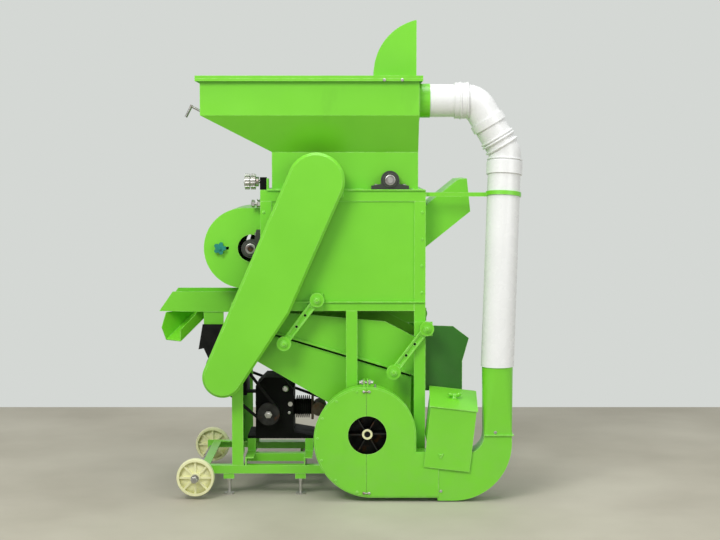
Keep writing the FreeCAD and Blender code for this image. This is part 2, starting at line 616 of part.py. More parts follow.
def screen(name, x, radius, rods):
    """A half-round concave: three bent flats joined by round rods along the drum."""
    body = new_body(name)
    inner = f"({radius} + screen_gap)"
    outer = f"({inner} + screen_rim)"
    half = "frame_half - angle_wall - panel_wall - seat_gap"
    top = f"-(bearing_height + screen_drop)"
    for y in (f"-({half})", "-screen_rim_width / 2", f"{half} - screen_rim_width"):
        pad(body, "XZ", [("o", "0", "0", outer), ("o", "0", "0", inner)], y, f"{y} + screen_rim_width")
    pitch = f"({inner} + screen_rim / 2)"
    count = int(value(rods))
    first = math.degrees(math.asin(min(0.9, (value("bearing_height + screen_drop") + 6) / value(pitch))))
    for i in range(count):
        turn = f"{first} + {i} * (180 - 2 * {first}) / ({rods} - 1)"
        pad(body, "XZ", [("o", f"{pitch} * cos({turn})", f"-{pitch} * sin({turn})", "screen_rod")],
            f"-({half})", half)
    clear = rectangle(f"-{outer} - 5", f"{outer} + 5", top, f"{outer} + 5")
    pad(body, "XZ", [clear], f"-({half}) - 1", f"{half} + 1", cut=True)
    return place(body, x, "0", DRUM_Z)


def make_drums():
    drum("main_drum", "main_x", "main_radius", "main_bar_count",
         "guard_lane - pulley_width / 2 - 6", "lane_two + pulley_width / 2 + 2", loose=True)
    beaters("main_beater_bars", "main_x", "main_radius", "main_bar_count")
    drum("second_drum", "second_x", "second_radius", "second_bar_count",
         "-frame_half - 6", "lane_one + pulley_width / 2 + 2")
    gather("drum_screens", [
        screen("main_screen", "main_x", "main_radius", "main_rod_count"),
        screen("second_screen", "second_x", "second_radius", "second_rod_count"),
    ])


# Belt drive

def groove_loop(radius, y):
    """Half profile of a V-pulley about its axis: outside radius, groove for the belt, bore."""
    half, top = "pulley_width / 2", "belt_width / 2 + belt_seat"
    bottom = f"{top} - belt_depth * 0.36"
    root = f"{radius} - belt_depth - belt_seat"
    bore = "shaft_radius + running_gap"
    return [(bore, f"{y} - {half}"), (radius, f"{y} - {half}"), (radius, f"{y} - ({top})"),
            (root, f"{y} - ({bottom})"), (root, f"{y} + ({bottom})"), (radius, f"{y} + ({top})"),
            (radius, f"{y} + {half}"), (bore, f"{y} + {half}")]


def pulley(name, x, z, radius, lane):
    body = new_body(name)
    revolve(body, groove_loop(radius, "0"))
    return place(body, x, lane, z)


def belt(name, start, end, lane):
    """A V-belt round two pulleys: two straight spans and two wraps of one trapezoid section."""
    (x0, z0, r0), (x1, z1, r1) = [[value(t) for t in spot] for spot in (start, end)]
    y = value(lane)
    wide, deep = value("belt_width") / 2, value("belt_depth")
    narrow = wide - deep * 0.36
    run = math.hypot(x1 - x0, z1 - z0)
    heading = math.atan2(z1 - z0, x1 - x0)
    spread = math.acos((r0 - r1) / run)
    pieces = []

    def section(cx, cz, radius, turn):
        spots = [(radius, -wide), (radius, wide), (radius - deep, narrow), (radius - deep, -narrow)]
        ring = [vec(cx + r * math.cos(turn), y + w, cz + r * math.sin(turn)) for r, w in spots]
        return Part.Face(Part.makePolygon(ring + [ring[0]]))

    for side in (1, -1):
        turn = heading + side * spread
        face = section(x0, z0, r0, turn)
        pieces.append(face.extrude(vec(x1 + r1 * math.cos(turn) - x0 - r0 * math.cos(turn), 0,
                                       z1 + r1 * math.sin(turn) - z0 - r0 * math.sin(turn))))
    wrap = 360 - 2 * math.degrees(spread)
    face = section(x0, z0, r0, heading + spread)
    pieces.append(face.revolve(vec(x0, y, z0), vec(0, -1, 0), wrap))
    face = section(x1, z1, r1, heading - spread)
    pieces.append(face.revolve(vec(x1, y, z1), vec(0, -1, 0), 360 - wrap))
    return feature(name, pieces[0].multiFuse(pieces[1:]).removeSplitter())


def make_drive():
    main, counter = ("main_x", DRUM_Z), (COUNTER_X, "counter_z")
    winnow, blower = (WINNOW_X, "winnow_z"), (BLOWER_X, "blower_z")
    gather("main_pulleys", [
        pulley("main_pulley_near", *main, "main_pulley", "guard_lane"),
        pulley("main_pulley_one", *main, "main_far", "lane_one"),
        pulley("main_pulley_two", *main, "main_far - 8", "lane_two + 2"),
    ])
    node("second_pulley", pulley("second_pulley", "second_x", DRUM_Z, "second_pulley", "lane_one"))
    node("winnow_pulley", pulley("winnow_pulley", *winnow, "winnow_pulley", "lane_two + 2"))
    gather("counter_pulleys", [
        pulley("counter_pulley_near", *counter, "counter_pulley", "guard_lane"),
        pulley("counter_pulley_inner", *counter, "counter_inner", "inner_lane"),
        pulley("counter_pulley_far", *counter, "counter_far", "lane_one"),
    ])
    node("counter_shaft", rod("counter_shaft", *counter, "guard_lane - pulley_width / 2 - 3",
                              "lane_one + pulley_width / 2 + 3", "shaft_radius"))
    node("blower_pulley", pulley("blower_pulley", *blower, "blower_pulley", "lane_one"))
    engine = new_body("engine_pulley")
    revolve(engine, groove_loop("engine_pulley", "0"))
    pad(engine, "XZ", [("o", "0", "0", "crank_radius")], "-pulley_width / 2 - 6",
        "case_front - 8 - inner_lane - seat_gap")
    node("engine_pulley", place(engine, "crank_x", "inner_lane", "crank_z"))
    gather("drive_belts", [
        belt("belt_guarded", (*main, "main_pulley"), (*counter, "counter_pulley"), "guard_lane"),
        belt("belt_engine", (*counter, "counter_inner"), ("crank_x", "crank_z", "engine_pulley"), "inner_lane"),
        belt("belt_second", (*main, "main_far"), ("second_x", DRUM_Z, "second_pulley"), "lane_one"),
        belt("belt_winnow", (*main, "main_far - 8"), (*winnow, "winnow_pulley"), "lane_two + 2"),
        belt("belt_blower", (*counter, "counter_far"), (*blower, "blower_pulley"), "lane_one"),
    ])


def guard_outline(inset):
    """Tapered guard: a large round top, a straight left side, a bent right side, a small foot."""
    top = (value("main_x"), value(DRUM_Z) - 4)
    foot = (value("guard_foot_x"), value("guard_foot_z"))
    r_top, r_foot = value("guard_top_radius") - inset, value("guard_foot_radius") - inset
    kink = (value("guard_kink_x"), value("guard_kink_z"))
    run = math.hypot(foot[0] - top[0], foot[1] - top[1])
    heading = math.atan2(foot[1] - top[1], foot[0] - top[0])
    side = math.acos((r_top - r_foot) / run)
    left = heading - side

    def at(centre, radius, turn):
        return vec(centre[0] + radius * math.cos(turn), 0, centre[1] + radius * math.sin(turn))

    def tangent(centre, radius, point, sign):
        reach = math.hypot(point[0] - centre[0], point[1] - centre[1])
        aim = math.atan2(point[1] - centre[1], point[0] - centre[0])
        return aim + sign * math.acos(radius / reach)

    upper = tangent(top, r_top + inset, kink, 1)
    lower = tangent(foot, r_foot + inset, kink, -1)
    bend = vec(kink[0] - inset, 0, kink[1] + inset * 0.35)
    p_left_top, p_left_foot = at(top, r_top, left), at(foot, r_foot, left)
    p_right_top, p_right_foot = at(top, r_top, upper), at(foot, r_foot, lower)
    crown = at(top, r_top, heading + math.pi)
    toe = at(foot, r_foot, heading)
    edges = [
        Part.Arc(p_right_top, crown, p_left_top).toShape(),
        Part.LineSegment(p_left_top, p_left_foot).toShape(),
        Part.Arc(p_left_foot, toe, p_right_foot).toShape(),
        Part.LineSegment(p_right_foot, bend).toShape(),
        Part.LineSegment(bend, p_right_top).toShape(),
    ]
    return Part.Face(Part.Wire(edges))


def make_guard():
    """The belt guard: a flat face with a turned-back edge, a small lip and three fixing feet."""
    front, depth, wall = value("guard_front"), value("guard_depth"), value("sheet_wall")

    def slab(inset, y0, y1, bevel=0):
        face = guard_outline(inset)
        face.translate(vec(0, y0, 0))
        solid = face.extrude(vec(0, y1 - y0, 0))
        if bevel:
            rim = [e for e in solid.Edges if all(abs(v.Y - y0) < 0.001 for v in e.Vertexes)]
            solid = solid.makeChamfer(bevel, rim)
        return solid

    bevel = value("guard_bevel")
    shell = slab(0, front, front + depth, bevel)
    shell = shell.cut(slab(wall, front + wall, front + depth + 1, bevel - 1))
    rim = slab(0, front + depth - wall, front + depth).cut(slab(value("guard_lip"), front, front + depth + 1))
    shell = shell.fuse(rim)
    near = -value("frame_half")
    feet = (
        (value("frame_left") + 10, value("mid_bottom") + 226),
        (value("leg_left") + 8, value("mid_bottom") - 118),
        (value("main_x") + 66, value("frame_top") - 24),
    )
    for x, z in feet:
        tab = Part.makeBox(24, near - (front + depth - wall), 22, vec(x, front + depth - wall, z))
        shell = shell.fuse(tab)
    node("belt_guard", feature("belt_guard", shell.removeSplitter()))


# Winnowing fan

def make_winnow():
    half, wall = "winnow_case_half", "sheet_wall"
    case = new_body("fan_housing")
    x, z, radius = "winnow_case_x", "winnow_z", "winnow_case_radius"
    edge = "(frame_left + angle_wall)"
    tail = rectangle(x, edge, f"{z} - {radius}", f"{z} + {radius}")
    pad(case, "XZ", [("o", x, z, radius)], f"-{half}", half)
    pad(case, "XZ", [tail], f"-{half}", half)
    inner = f"{radius} - {wall}"
    pad(case, "XZ", [("o", x, z, inner)], f"-{half} + {wall}", f"{half} - {wall}", cut=True)
    opening = rectangle(x, f"{edge} + 2", f"{z} - ({inner})", f"{z} + ({inner})")
    pad(case, "XZ", [opening], f"-{half} + {wall}", f"{half} - {wall}", cut=True)
    pad(case, "XZ", [rectangle(edge, f"{x} + {radius} + 2", f"{z} - {radius} - 1", f"{z} + {radius} + 1")],
        f"-{half} - 1", f"{half} + 1", cut=True)
    pad(case, "XZ", [("o", WINNOW_X, z, "winnow_inlet")], f"-{half} - 1", f"{half} + 1", cut=True)
    slot = rectangle("knob_x - knob_bolt - 1", "knob_x + knob_bolt + shutter_travel + 1",
                     f"{z} - knob_bolt - 1", f"{z} + knob_bolt + 1")
    pad(case, "XZ", [slot], f"-{half} - 1", f"-{half} + {wall} + 1", cut=True)
    node("fan_housing", case)

    rotor = new_body("winnow_fan")
    pad(rotor, "XZ", [("o", "0", "0", "shaft_radius")], "-frame_half - 6", "lane_two + pulley_width / 2 + 2")
    for y in ("-winnow_half + 20", "winnow_half - 32"):
        pad(rotor, "XZ", [("o", "0", "0", "hub_outer + 6")], y, f"{y} + 12")
    blade = pad(rotor, "XZ", [rectangle("hub_outer", "winnow_radius", "0", "blade_wall")],
                "-winnow_half", "winnow_half")
    arm_one = pad(rotor, "XZ", [rectangle("shaft_radius", "winnow_radius - 20", "-5", "0")],
                  "-winnow_half + 20", "-winnow_half + 32")
    arm_two = pad(rotor, "XZ", [rectangle("shaft_radius", "winnow_radius - 20", "-5", "0")],
                  "winnow_half - 32", "winnow_half - 20")
    pattern(rotor, [blade, arm_one, arm_two], "winnow_blades")
    node("winnow_fan", place(rotor, WINNOW_X, "0", "winnow_z"))

    plate = new_body("fan_shutter")
    inside = f"-{half} + {wall} + seat_gap"
    pad(plate, "XZ", [rectangle("knob_x - 12", "knob_x + 14", f"{z} - shutter_half", f"{z} + shutter_half")],
        inside, f"{inside} + 2")
    stem = ("o", "knob_x", z, "knob_bolt")
    pad(plate, "XZ", [stem], f"-{half} - knob_height - 8", f"{inside} + 1")
    knob = new_body("shutter_knob")
    back = "-seat_gap"
    pad(knob, "XZ", [("o", "0", "0", "knob_radius * 0.7")], "-knob_height", back)
    lobe = pad(knob, "XZ", [("o", "knob_radius * 0.68", "0", "knob_radius * 0.32")], "-knob_height", back)
    pattern(knob, [lobe], "knob_lobes")
    pad(knob, "XZ", [("o", "0", "0", "knob_bolt + running_gap")], "-knob_height - 1", "0", cut=True)
    gather("fan_shutter", [plate, place(knob, "knob_x", f"-{half}", z)])


# Outlets

def tube_prism(name, outline, inset, half, wall):
    """A closed sheet duct: an outline in XZ made hollow, with cheeks on both sides."""
    body = new_body(name)
    pad(body, "XZ", [outline], f"-{half}", half)
    pad(body, "XZ", [inset], f"-{half} + {wall}", f"{half} - {wall}", cut=True)
    return body


def make_outlets():
    wall = "sheet_wall"
    left = "(frame_right - angle_wall)"
    tip, rise, mouth = f"{left} + shell_reach", "shell_low + shell_rise", "shell_mouth"
    lean = "12"
    outline = [(left, "shell_low"), (tip, rise), (f"{tip} - {lean}", f"{rise} + {mouth}"),
               (f"{tip} - {lean} - 30", f"{rise} + {mouth} - 3"), (left, "shell_high")]
    inset = [(f"{left} - 1", f"shell_low + {wall} + 1"), (f"{left}", f"shell_low + {wall} + 1"),
             (f"{tip} + 2", f"{rise} + {wall} + 2"), (f"{tip} - {lean} + 3", f"{rise} + {mouth} - {wall}"),
             (f"{tip} - {lean} - 30", f"{rise} + {mouth} - {wall} - 3"), (left, f"shell_high - {wall} - 1"),
             (f"{left} - 1", f"shell_high - {wall} - 1")]
    shell = tube_prism("shell_chute", outline, inset, "shell_half", wall)
    rim = [rectangle("-shell_half - 12", "shell_half + 12", "shell_low - 10", "shell_high + 10"),
           rectangle("-shell_half + 4", "shell_half - 4", "shell_low + 4", "shell_high - 4")]
    pad(shell, "YZ", rim, left, f"{left} + 3")
    node("shell_chute", shell)


def make_return():
    """The sieve-end chute: an open mouth that falls towards the far side, over a wide opening below."""
    wall, half = value("sheet_wall"), value("return_half")
    left = value("frame_right + seat_gap")
    low, top, fall = value("return_base"), value("return_top"), value("return_fall")
    reach, fold, knee = left + value("return_reach"), left + value("return_fold"), value("return_knee")
    lip = value("return_lip")
    inner_x = reach - value("return_inset")

    def block(level, slant):
        """A solid between the near outline and the same one with its upper corners let down."""
        wires = []
        for y, drop in ((-half, 0), (half, fall)):
            spots = [vec(x, y, z) for x, z in level] + [vec(x, y, z - drop) for x, z in slant]
            wires.append(Part.makePolygon(spots + [spots[0]]))
        return Part.makeLoft(wires, True, True)

    outer = block([(left, low), (inner_x, low)], [(inner_x, knee), (reach, lip), (fold, top - 3), (left, top)])
    inner = block([(left + wall, low - 1), (inner_x - wall, low - 1)],
                  [(inner_x - wall, knee), (reach - wall, lip - 1), (reach - wall + 3, lip + 5),
                   (fold + 2, top + 2), (left + wall, top + 2)])
    keep = Part.makeBox(300, 2 * (half - wall), 400, vec(left - 20, wall - half, low - 20))
    chute = outer.cut(inner.common(keep))
    high = top - fall
    plate = Part.makeBox(3, 2 * half + 52, high - low - 14, vec(left, -half - 26, low + 10))
    window = Part.makeBox(wall + 4, 2 * half - 24, high - low - 42, vec(left - 1, 12 - half, low + 24))
    node("return_chute", feature("return_chute", chute.fuse(plate).cut(window).removeSplitter()))


# Sieve, rocker arms and connecting rod

def lower_pivot(x, z):
    return f"{x} + arm_length * cos(arm_angle)", f"{z} - arm_length * sin(arm_angle)"


def make_arms():
    for name, x, z in (("rocker_arms_left", "arm_left_x", "arm_left_z"),
                       ("rocker_arms_right", "arm_right_x", "arm_right_z")):
        arm = new_body(name + "_near")
        bore = "arm_pin + running_gap"
        bar = rectangle("arm_eye - 4", "arm_length - arm_eye + 4", "-arm_bar", "arm_bar")
        pad(arm, "XZ", [bar], "-arm_bar_wall", "0")
        channel = rectangle("arm_eye + 8", "arm_length - arm_eye - 8", "-arm_bar + 3", "arm_bar - 3")
        pad(arm, "XZ", [channel], "-arm_bar_wall - 1", "-arm_bar_wall + 4", cut=True)
        for u in ("0", "arm_length"):
            pad(arm, "XZ", [("o", u, "0", "arm_eye")], "-arm_eye_width", "0")
        for u in ("0", "arm_length"):
            pad(arm, "XZ", [("o", u, "0", bore)], "-arm_eye_width - 1", "1", cut=True)
        place(arm, x, "-arm_near", z, (0, 1, 0), "arm_angle")
        gather(name, [arm, mirrored(name + "_far", arm)])
    pivots = []
    for i, (x, z) in enumerate((("arm_left_x", "arm_left_z"), ("arm_right_x", "arm_right_z"))):
        pivot = new_body(f"arm_pivot_{i}")
        low = "mid_bottom" if i == 0 else f"{z} - 26"
        left = f"{x} - 20" if i == 0 else "frame_right - angle_leg"
        pad(pivot, "XZ", [rectangle(left, f"{x} + 20", low, f"{z} + 22")],
            "-arm_near + seat_gap + 3", "-frame_half")
        pad(pivot, "XZ", [("o", x, z, "arm_pin")], "-arm_near - arm_eye_width - seat_gap - 3",
            "-frame_half - 2")
        pad(pivot, "XZ", [("o", x, z, "pin_head")], "-arm_near - arm_eye_width - seat_gap - 6",
            "-arm_near - arm_eye_width - seat_gap")
        pivots.append(pivot)
    gather("arm_pivots", pivots + [mirrored(p.Label + "_far", p) for p in pivots])


def sieve_loop(grow="0"):
    return [("sieve_left", f"sieve_low_left - {grow}"), ("sieve_right", f"sieve_low_right - {grow}"),
            ("sieve_right", f"sieve_top_right + {grow}"), ("sieve_knee_x", f"sieve_knee_z + {grow}"),
            ("sieve_left", f"sieve_top_left + {grow}")]


def make_sieve():
    half, wall = "sieve_half", "sieve_wall"
    frame = new_body("sieve_frame")
    pad(frame, "XZ", [sieve_loop()], f"-{half}", f"-{half} + {wall}")
    pad(frame, "XZ", [sieve_loop()], f"{half} - {wall}", half)
    slope = "(sieve_low_right - sieve_low_left) / (sieve_right - sieve_left)"

    def floor_at(x, lift="0"):
        return f"sieve_low_left + ({x} - sieve_left) * {slope} + {lift}"

    strip = [("sieve_left", "sieve_low_left"), ("sieve_right", "sieve_low_right"),
             ("sieve_right", f"sieve_low_right + {wall}"), ("sieve_left", f"sieve_low_left + {wall}")]
    pad(frame, "XZ", [strip], f"-{half}", f"-{half} + sieve_flange")
    pad(frame, "XZ", [strip], f"{half} - sieve_flange", half)
    for x in ("sieve_left + 2", "sieve_left + 180", "sieve_left + 362", "sieve_right - cross_bar - 2"):
        z = floor_at(x, "6")
        bar = rectangle(x, f"{x} + cross_bar", z, f"{z} + cross_bar")
        pad(frame, "XZ", [bar], f"-{half} + 1", f"{half} - 1")
    reach = "arm_near + arm_eye_width + seat_gap"
    pins = []
    for i, (x, z) in enumerate((lower_pivot("arm_left_x", "arm_left_z"), lower_pivot("arm_right_x", "arm_right_z"))):
        pin = new_body(f"sieve_pin_{i}")
        pad(pin, "XZ", [("o", x, z, "arm_pin")], f"-({reach}) - 5", f"-{half} - seat_gap")
        pad(pin, "XZ", [("o", x, z, "pin_head")], f"-({reach}) - 5", f"-({reach})")
        pad(pin, "XZ", [("o", x, z, "pin_head")], "-arm_near + seat_gap", f"-{half} - seat_gap")
        pins += [pin, mirrored(f"sieve_pin_far_{i}", pin)]
    pins.append(rod("sieve_rod_pin", "rod_end_x", "rod_end_z", f"{half} + seat_gap",
                    "rod_plane + rod_wall + 5", "arm_pin"))
    gather("sieve_frame", [frame] + pins)

    deck = new_body("sieve_deck")
    gap = "seat_gap"
    x0, x1 = f"sieve_left + {gap}", f"sieve_right - {gap}"
    z0, z1 = floor_at(x0, "deck_rise"), floor_at(x1, "deck_rise")
    pad(deck, "XZ", [[(x0, z0), (x1, z1), (x1, f"{z1} + deck_wall"), (x0, f"{z0} + deck_wall")]],
        f"-{half} + {wall} + {gap}", f"{half} - {wall} - {gap}")
    count = int(value("(sieve_right - sieve_left) / deck_rib_pitch")) - 1
    for i in range(count):
        x = f"sieve_left + deck_rib_pitch * ({i} + 1)"
        z = floor_at(x, "deck_rise + deck_wall")
        rib = [(x, f"{z} - 2"), (f"{x} + deck_rib", f"{z} - 2"), (x, f"{z} + deck_rib")]
        pad(deck, "XZ", [rib], f"-{half} + {wall} + {gap}", f"{half} - {wall} - {gap}")
    node("sieve_deck", deck)

    tray = new_body("kernel_tray")
    low, top = "tray_low", "tray_low + tray_height"
    end = f"sieve_left - {gap}"
    slant = [("tray_tip", low), ("tray_low_right", f"{low} - 3"), (end, f"{low} - 3"), (end, top), ("tray_top_left", top)]
    pad(tray, "XZ", [slant], "-tray_half", "tray_half")
    hollow = [("tray_tip - 30", f"{low} + {wall}"), (f"{end} + 2", f"{low} + {wall}"), (f"{end} + 2", f"{top} + 2"),
              ("tray_tip - 30", f"{top} + 2")]
    pad(tray, "XZ", [hollow], f"-tray_half + {wall}", f"tray_half - {wall}", cut=True)
    pad(tray, "YZ", [rectangle(f"-{half}", half, "sieve_low_left + 24", "sieve_top_left - 2")],
        f"{end} - 3", end)
    mouth = rectangle(f"-tray_half + {wall} + 8", f"tray_half - {wall} - 8", f"{low} + {wall}", "sieve_top_left + 1")
    pad(tray, "YZ", [mouth], f"{end} - 6", f"{end} + 2", cut=True)
    turned = ((-38, -28), (26, -28), (26, 28), (-38, 28))
    hole = [(f"spout_x + {u} * cos(spout_turn) - ({v}) * sin(spout_turn)",
             f"spout_y + {u} * sin(spout_turn) + ({v}) * cos(spout_turn)") for u, v in turned]
    pad(tray, "XY", [hole], f"{low} - 8", f"{low} + {wall} + 1", cut=True)
    bar = rectangle("flap_left + 4", "flap_right", "flap_top - flap_bar", f"{low} - 1")
    pad(tray, "XZ", [bar], "-tray_half + flap_wall + seat_gap", "-tray_half + 2 * flap_wall + seat_gap")
    node("kernel_tray", tray)
    flap = [("flap_left", "flap_top"), ("flap_right", "flap_top"), ("flap_right", "flap_low + 20"),
            ("flap_right - 20", "flap_low"), ("flap_left + 24", "flap_low + 4"), ("flap_left + 3", "flap_low + 50"), ("flap_left - 15", "flap_low + 46")]
    node("rubber_flap", prism("rubber_flap", "XZ", [flap], "-tray_half", "-tray_half + flap_wall"))


def make_spout():
    """A sloping trough under the tray that turns the kernels towards the near side."""
    width, height, length = value("spout_width"), value("spout_height"), value("spout_length")
    wall, gap = value("sheet_wall"), value("seat_gap")
    slope = math.radians(value("spout_slope"))
    drop = length * math.tan(slope)
    y0, y1 = -width / 2, wall - width / 2
    side = Part.makePolygon([vec(40, y0, 0), vec(-length, y0, -drop), vec(-length - 14, y0, height - drop - 6),
                             vec(-length + 6, y0, 0), vec(40, y0, 0)])
    outer = Part.Face(side).extrude(vec(0, width, 0))
    hollow = Part.makePolygon([vec(40 - 3 * wall, y1, 1), vec(40 - 3 * wall, y1, -wall),
                               vec(-length - 30, y1, -drop - 30 * math.tan(slope) + wall * 1.3),
                               vec(-length - 30, y1, 1), vec(40 - 3 * wall, y1, 1)])
    inner = Part.Face(hollow).extrude(vec(0, width - 2 * wall, 0))
    spout = feature("kernel_spout", outer.cut(inner))
    turn = FreeCAD.Rotation(vec(0, 0, 1), value("spout_turn"))
    spout.Placement = FreeCAD.Placement(vec(value("spout_x"), value("spout_y"), value("tray_low") - 3 - gap), turn)
    node("kernel_spout", spout)


def make_rod():
    """Eccentric on the lower fan shaft and the connecting rod that shakes the sieve."""
    ecc = new_body("sieve_eccentric")
    y = "rod_plane - 6"
    pad(ecc, "XZ", [("o", "eccentric_throw", "0", "eccentric_radius")], y, f"{y} + rod_wall + 12")
    pad(ecc, "XZ", [("o", "0", "0", "shaft_radius + running_gap")], f"{y} - 1", f"{y} + rod_wall + 14", cut=True)
    node("sieve_eccentric", place(ecc, BLOWER_X, "0", "blower_z"))
    bar = new_body("connecting_rod")
    length = f"sqrt(({BLOWER_X} - rod_end_x)^2 + (rod_end_z - blower_z)^2)"
    strap = "eccentric_radius + eccentric_throw + strap_gap"
    pad(bar, "XZ", [("o", "0", "0", "rod_eye")], "0", "rod_wall")
    pad(bar, "XZ", [("o", length, "0", f"{strap} + strap_wall")], "0", "rod_wall")
    pad(bar, "XZ", [rectangle("rod_eye - 4", f"{length} - ({strap}) - strap_wall + 2", "-rod_bar", "rod_bar")],
        "2", "rod_wall - 2")
    pad(bar, "XZ", [("o", "0", "0", "arm_pin + running_gap")], "-1", "rod_wall + 1", cut=True)
    pad(bar, "XZ", [("o", length, "0", strap)], "-1", "rod_wall + 1", cut=True)
    tilt = f"atan((rod_end_z - blower_z) / ({BLOWER_X} - rod_end_x))"
    node("connecting_rod", place(bar, "rod_end_x", "rod_plane", "rod_end_z", (0, 1, 0), tilt))


# Blower and wind box

def volute(inset, right, floor_drop=0.0):
    """Spiral casing outline of three quarter arcs and a straight outlet, as a face in XZ."""
    cx, cz = value(BLOWER_X), value("blower_z")
    radius, growth = value("volute_radius") - inset, value("volute_growth")
    first, second, third = radius, radius + growth, radius + 2 * growth
    floor = cz - growth - third
    roof = value("blower_z - volute_radius - 3 * volute_growth + outlet_height") - inset
    edge_x = cx + first

    def arc(ox, oz, r, a0, a1):
        spots = [vec(ox + r * math.cos(math.radians(a)), 0, oz + r * math.sin(math.radians(a)))
                 for a in (a0, (a0 + a1) / 2, a1)]
        return Part.Arc(*spots).toShape()

    edges = [
        arc(cx, cz, first, 0, 90),
        arc(cx, cz - growth, second, 90, 180),
        arc(cx + growth, cz - growth, third, 180, 270),
        Part.LineSegment(vec(cx + growth, 0, floor), vec(right, 0, floor)).toShape(),
        Part.LineSegment(vec(right, 0, floor), vec(right, 0, roof)).toShape(),
        Part.LineSegment(vec(right, 0, roof), vec(edge_x, 0, roof)).toShape(),
        Part.LineSegment(vec(edge_x, 0, roof), vec(edge_x, 0, cz)).toShape(),
    ]
    return Part.Face(Part.Wire(edges))


def slab(face, y0, y1):
    moved = face.copy()
    moved.translate(vec(0, y0, 0))
    return moved.extrude(vec(0, y1 - y0, 0))


def make_blower():
    front, back = value("blower_front"), value("blower_back")
    wall, lip = value("sheet_wall"), value("volute_flange")
    right = value("outlet_x")
    cx, cz = value(BLOWER_X), value("blower_z")
    shell = slab(volute(0, right), front, back).cut(slab(volute(wall, right + 5), front - 1, back - wall))
    rim = slab(volute(-lip, right), front, front + 3).cut(slab(volute(wall, right + 5), front - 1, front + 4))
    hole = Part.makeCylinder(value("shaft_radius") + 4, 40, vec(cx, back - 20, cz), vec(0, 1, 0))
    collar_x = right - 3
    collar = Part.makeBox(3, back - front + 8, value("outlet_height + elbow_drop") + 10,
                          vec(collar_x, front, value("blower_z - volute_radius - 3 * volute_growth - elbow_drop")))
    collar = collar.cut(slab(volute(wall, right + 5), front - 1, back - wall))
    shell = shell.fuse(rim).fuse(collar).cut(hole)
    node("blower_casing", feature("blower_casing", shell.removeSplitter()))
    gap = value("seat_gap")
    cover = slab(volute(0, right), front - gap - wall, front - gap)
    inlet = Part.makeCylinder(value("blower_inlet"), 40, vec(cx, front - 20, cz), vec(0, 1, 0))
    cover = cover.cut(inlet)
    split = cx - 3
    half_gap = value("split_gap") / 2
    covers = []
    for name, x0, x1 in (("blower_cover_left", split - 400, split - half_gap),
                         ("blower_cover_right", split + half_gap, split + 400)):
        keep = Part.makeBox(x1 - x0, 60, 800, vec(x0, front - 40, cz - 400))
        covers.append(feature(name, cover.common(keep)))
    gather("blower_covers", covers)


def make_fans():
    wheel = new_body("blower_impeller")
    middle = "(blower_front + blower_back) / 2"
    half = "impeller_half"
    revolve(wheel, [("shaft_radius + running_gap", f"-{half}"), ("hub_radius_fan", f"-{half}"),
                    ("hub_radius_fan", half), ("shaft_radius + running_gap", half)])
    blade = pad(wheel, "XZ", [rectangle("hub_radius_fan - 1", "blower_radius", "0", "blade_wall")],
                f"-{half}", half)
    pattern(wheel, [blade], "blower_blades")
    pad(wheel, "XZ", [("o", "0", "0", "blower_radius * 0.72"), ("o", "0", "0", "hub_radius_fan - 2")],
        f"{half} - 3", half)
    node("blower_impeller", place(wheel, BLOWER_X, middle, "blower_z"))

    shaft = new_body("blower_shaft")
    pad(shaft, "XZ", [("o", "0", "0", "shaft_radius")], "blower_shaft_start", "lane_one + pulley_width / 2 + 3")
    node("blower_shaft", place(shaft, BLOWER_X, "0", "blower_z"))
    inner = new_body("sieve_fan")
    half = "sieve_fan_half"
    revolve(inner, [("shaft_radius + running_gap", "-40"), ("hub_outer", "-40"),
                    ("hub_outer", "40"), ("shaft_radius + running_gap", "40")])
    blade = pad(inner, "XZ", [rectangle("hub_outer - 2", "sieve_fan_radius", "0", "blade_wall")], "-38", "38")
    wing = pad(inner, "XZ", [rectangle("sieve_fan_radius * 0.55", "sieve_fan_radius", "0", "blade_wall")],
               f"-{half}", half)
    pattern(inner, [blade, wing], "sieve_fan_blades")
    node("sieve_fan", place(inner, BLOWER_X, "0", "blower_z"))


def make_wind_box():
    wall = "sheet_wall"
    half = "(sieve_half - wind_inset)"
    box = new_body("wind_box")
    slope = "(sieve_low_right - sieve_low_left) / (sieve_right - sieve_left)"

    def roof_at(x):
        return f"sieve_low_left + ({x} - sieve_left) * {slope} - wind_gap"

    knee = f"{BLOWER_X} - scroll_radius * 0.72"
    outline = [("wind_left", roof_at("wind_left")), ("wind_left", "wind_low_left"), (knee, "wind_low_right"),
               (BLOWER_X, "blower_z"), ("wind_right - 4", "blower_z"), ("wind_right", roof_at("wind_right"))]
    inner = [(f"wind_left + {wall}", f"{roof_at('wind_left')} + 40"), (f"wind_left + {wall}", f"wind_low_left + {wall}"),
             (f"{knee}", f"wind_low_right + {wall} + 1"), (BLOWER_X, f"blower_z + {wall}"),
             (f"wind_right - 4 - {wall}", f"blower_z + {wall}"), (f"wind_right - {wall}", f"{roof_at('wind_right')} + 40")]
    pad(box, "XZ", [outline], f"-{half}", half)
    pad(box, "XZ", [("o", BLOWER_X, "blower_z", "scroll_radius")], f"-{half}", half)
    pad(box, "XZ", [inner], f"-{half} + {wall}", f"{half} - {wall}", cut=True)
    pad(box, "XZ", [("o", BLOWER_X, "blower_z", f"scroll_radius - {wall}")],
        f"-{half} + {wall}", f"{half} - {wall}", cut=True)
    pad(box, "XZ", [("o", BLOWER_X, "blower_z", "wind_inlet")], f"-{half} - 1", f"{half} + 1", cut=True)
    ear = rectangle("middle_post_right - wind_ear / 2", "middle_post_right + wind_ear / 2",
                    "wind_low_right + 60", "wind_low_right + 60 + 2 * wind_ear")
    reach = f"({INNER} - seat_gap)"
    pad(box, "XZ", [ear], f"-{reach}", f"-{half} + 1")
    pad(box, "XZ", [ear], f"{half} - 1", reach)
    node("wind_box", box)


# Feeder, ducts and pipes

FLOOR = "blower_z - volute_radius - 3 * volute_growth"


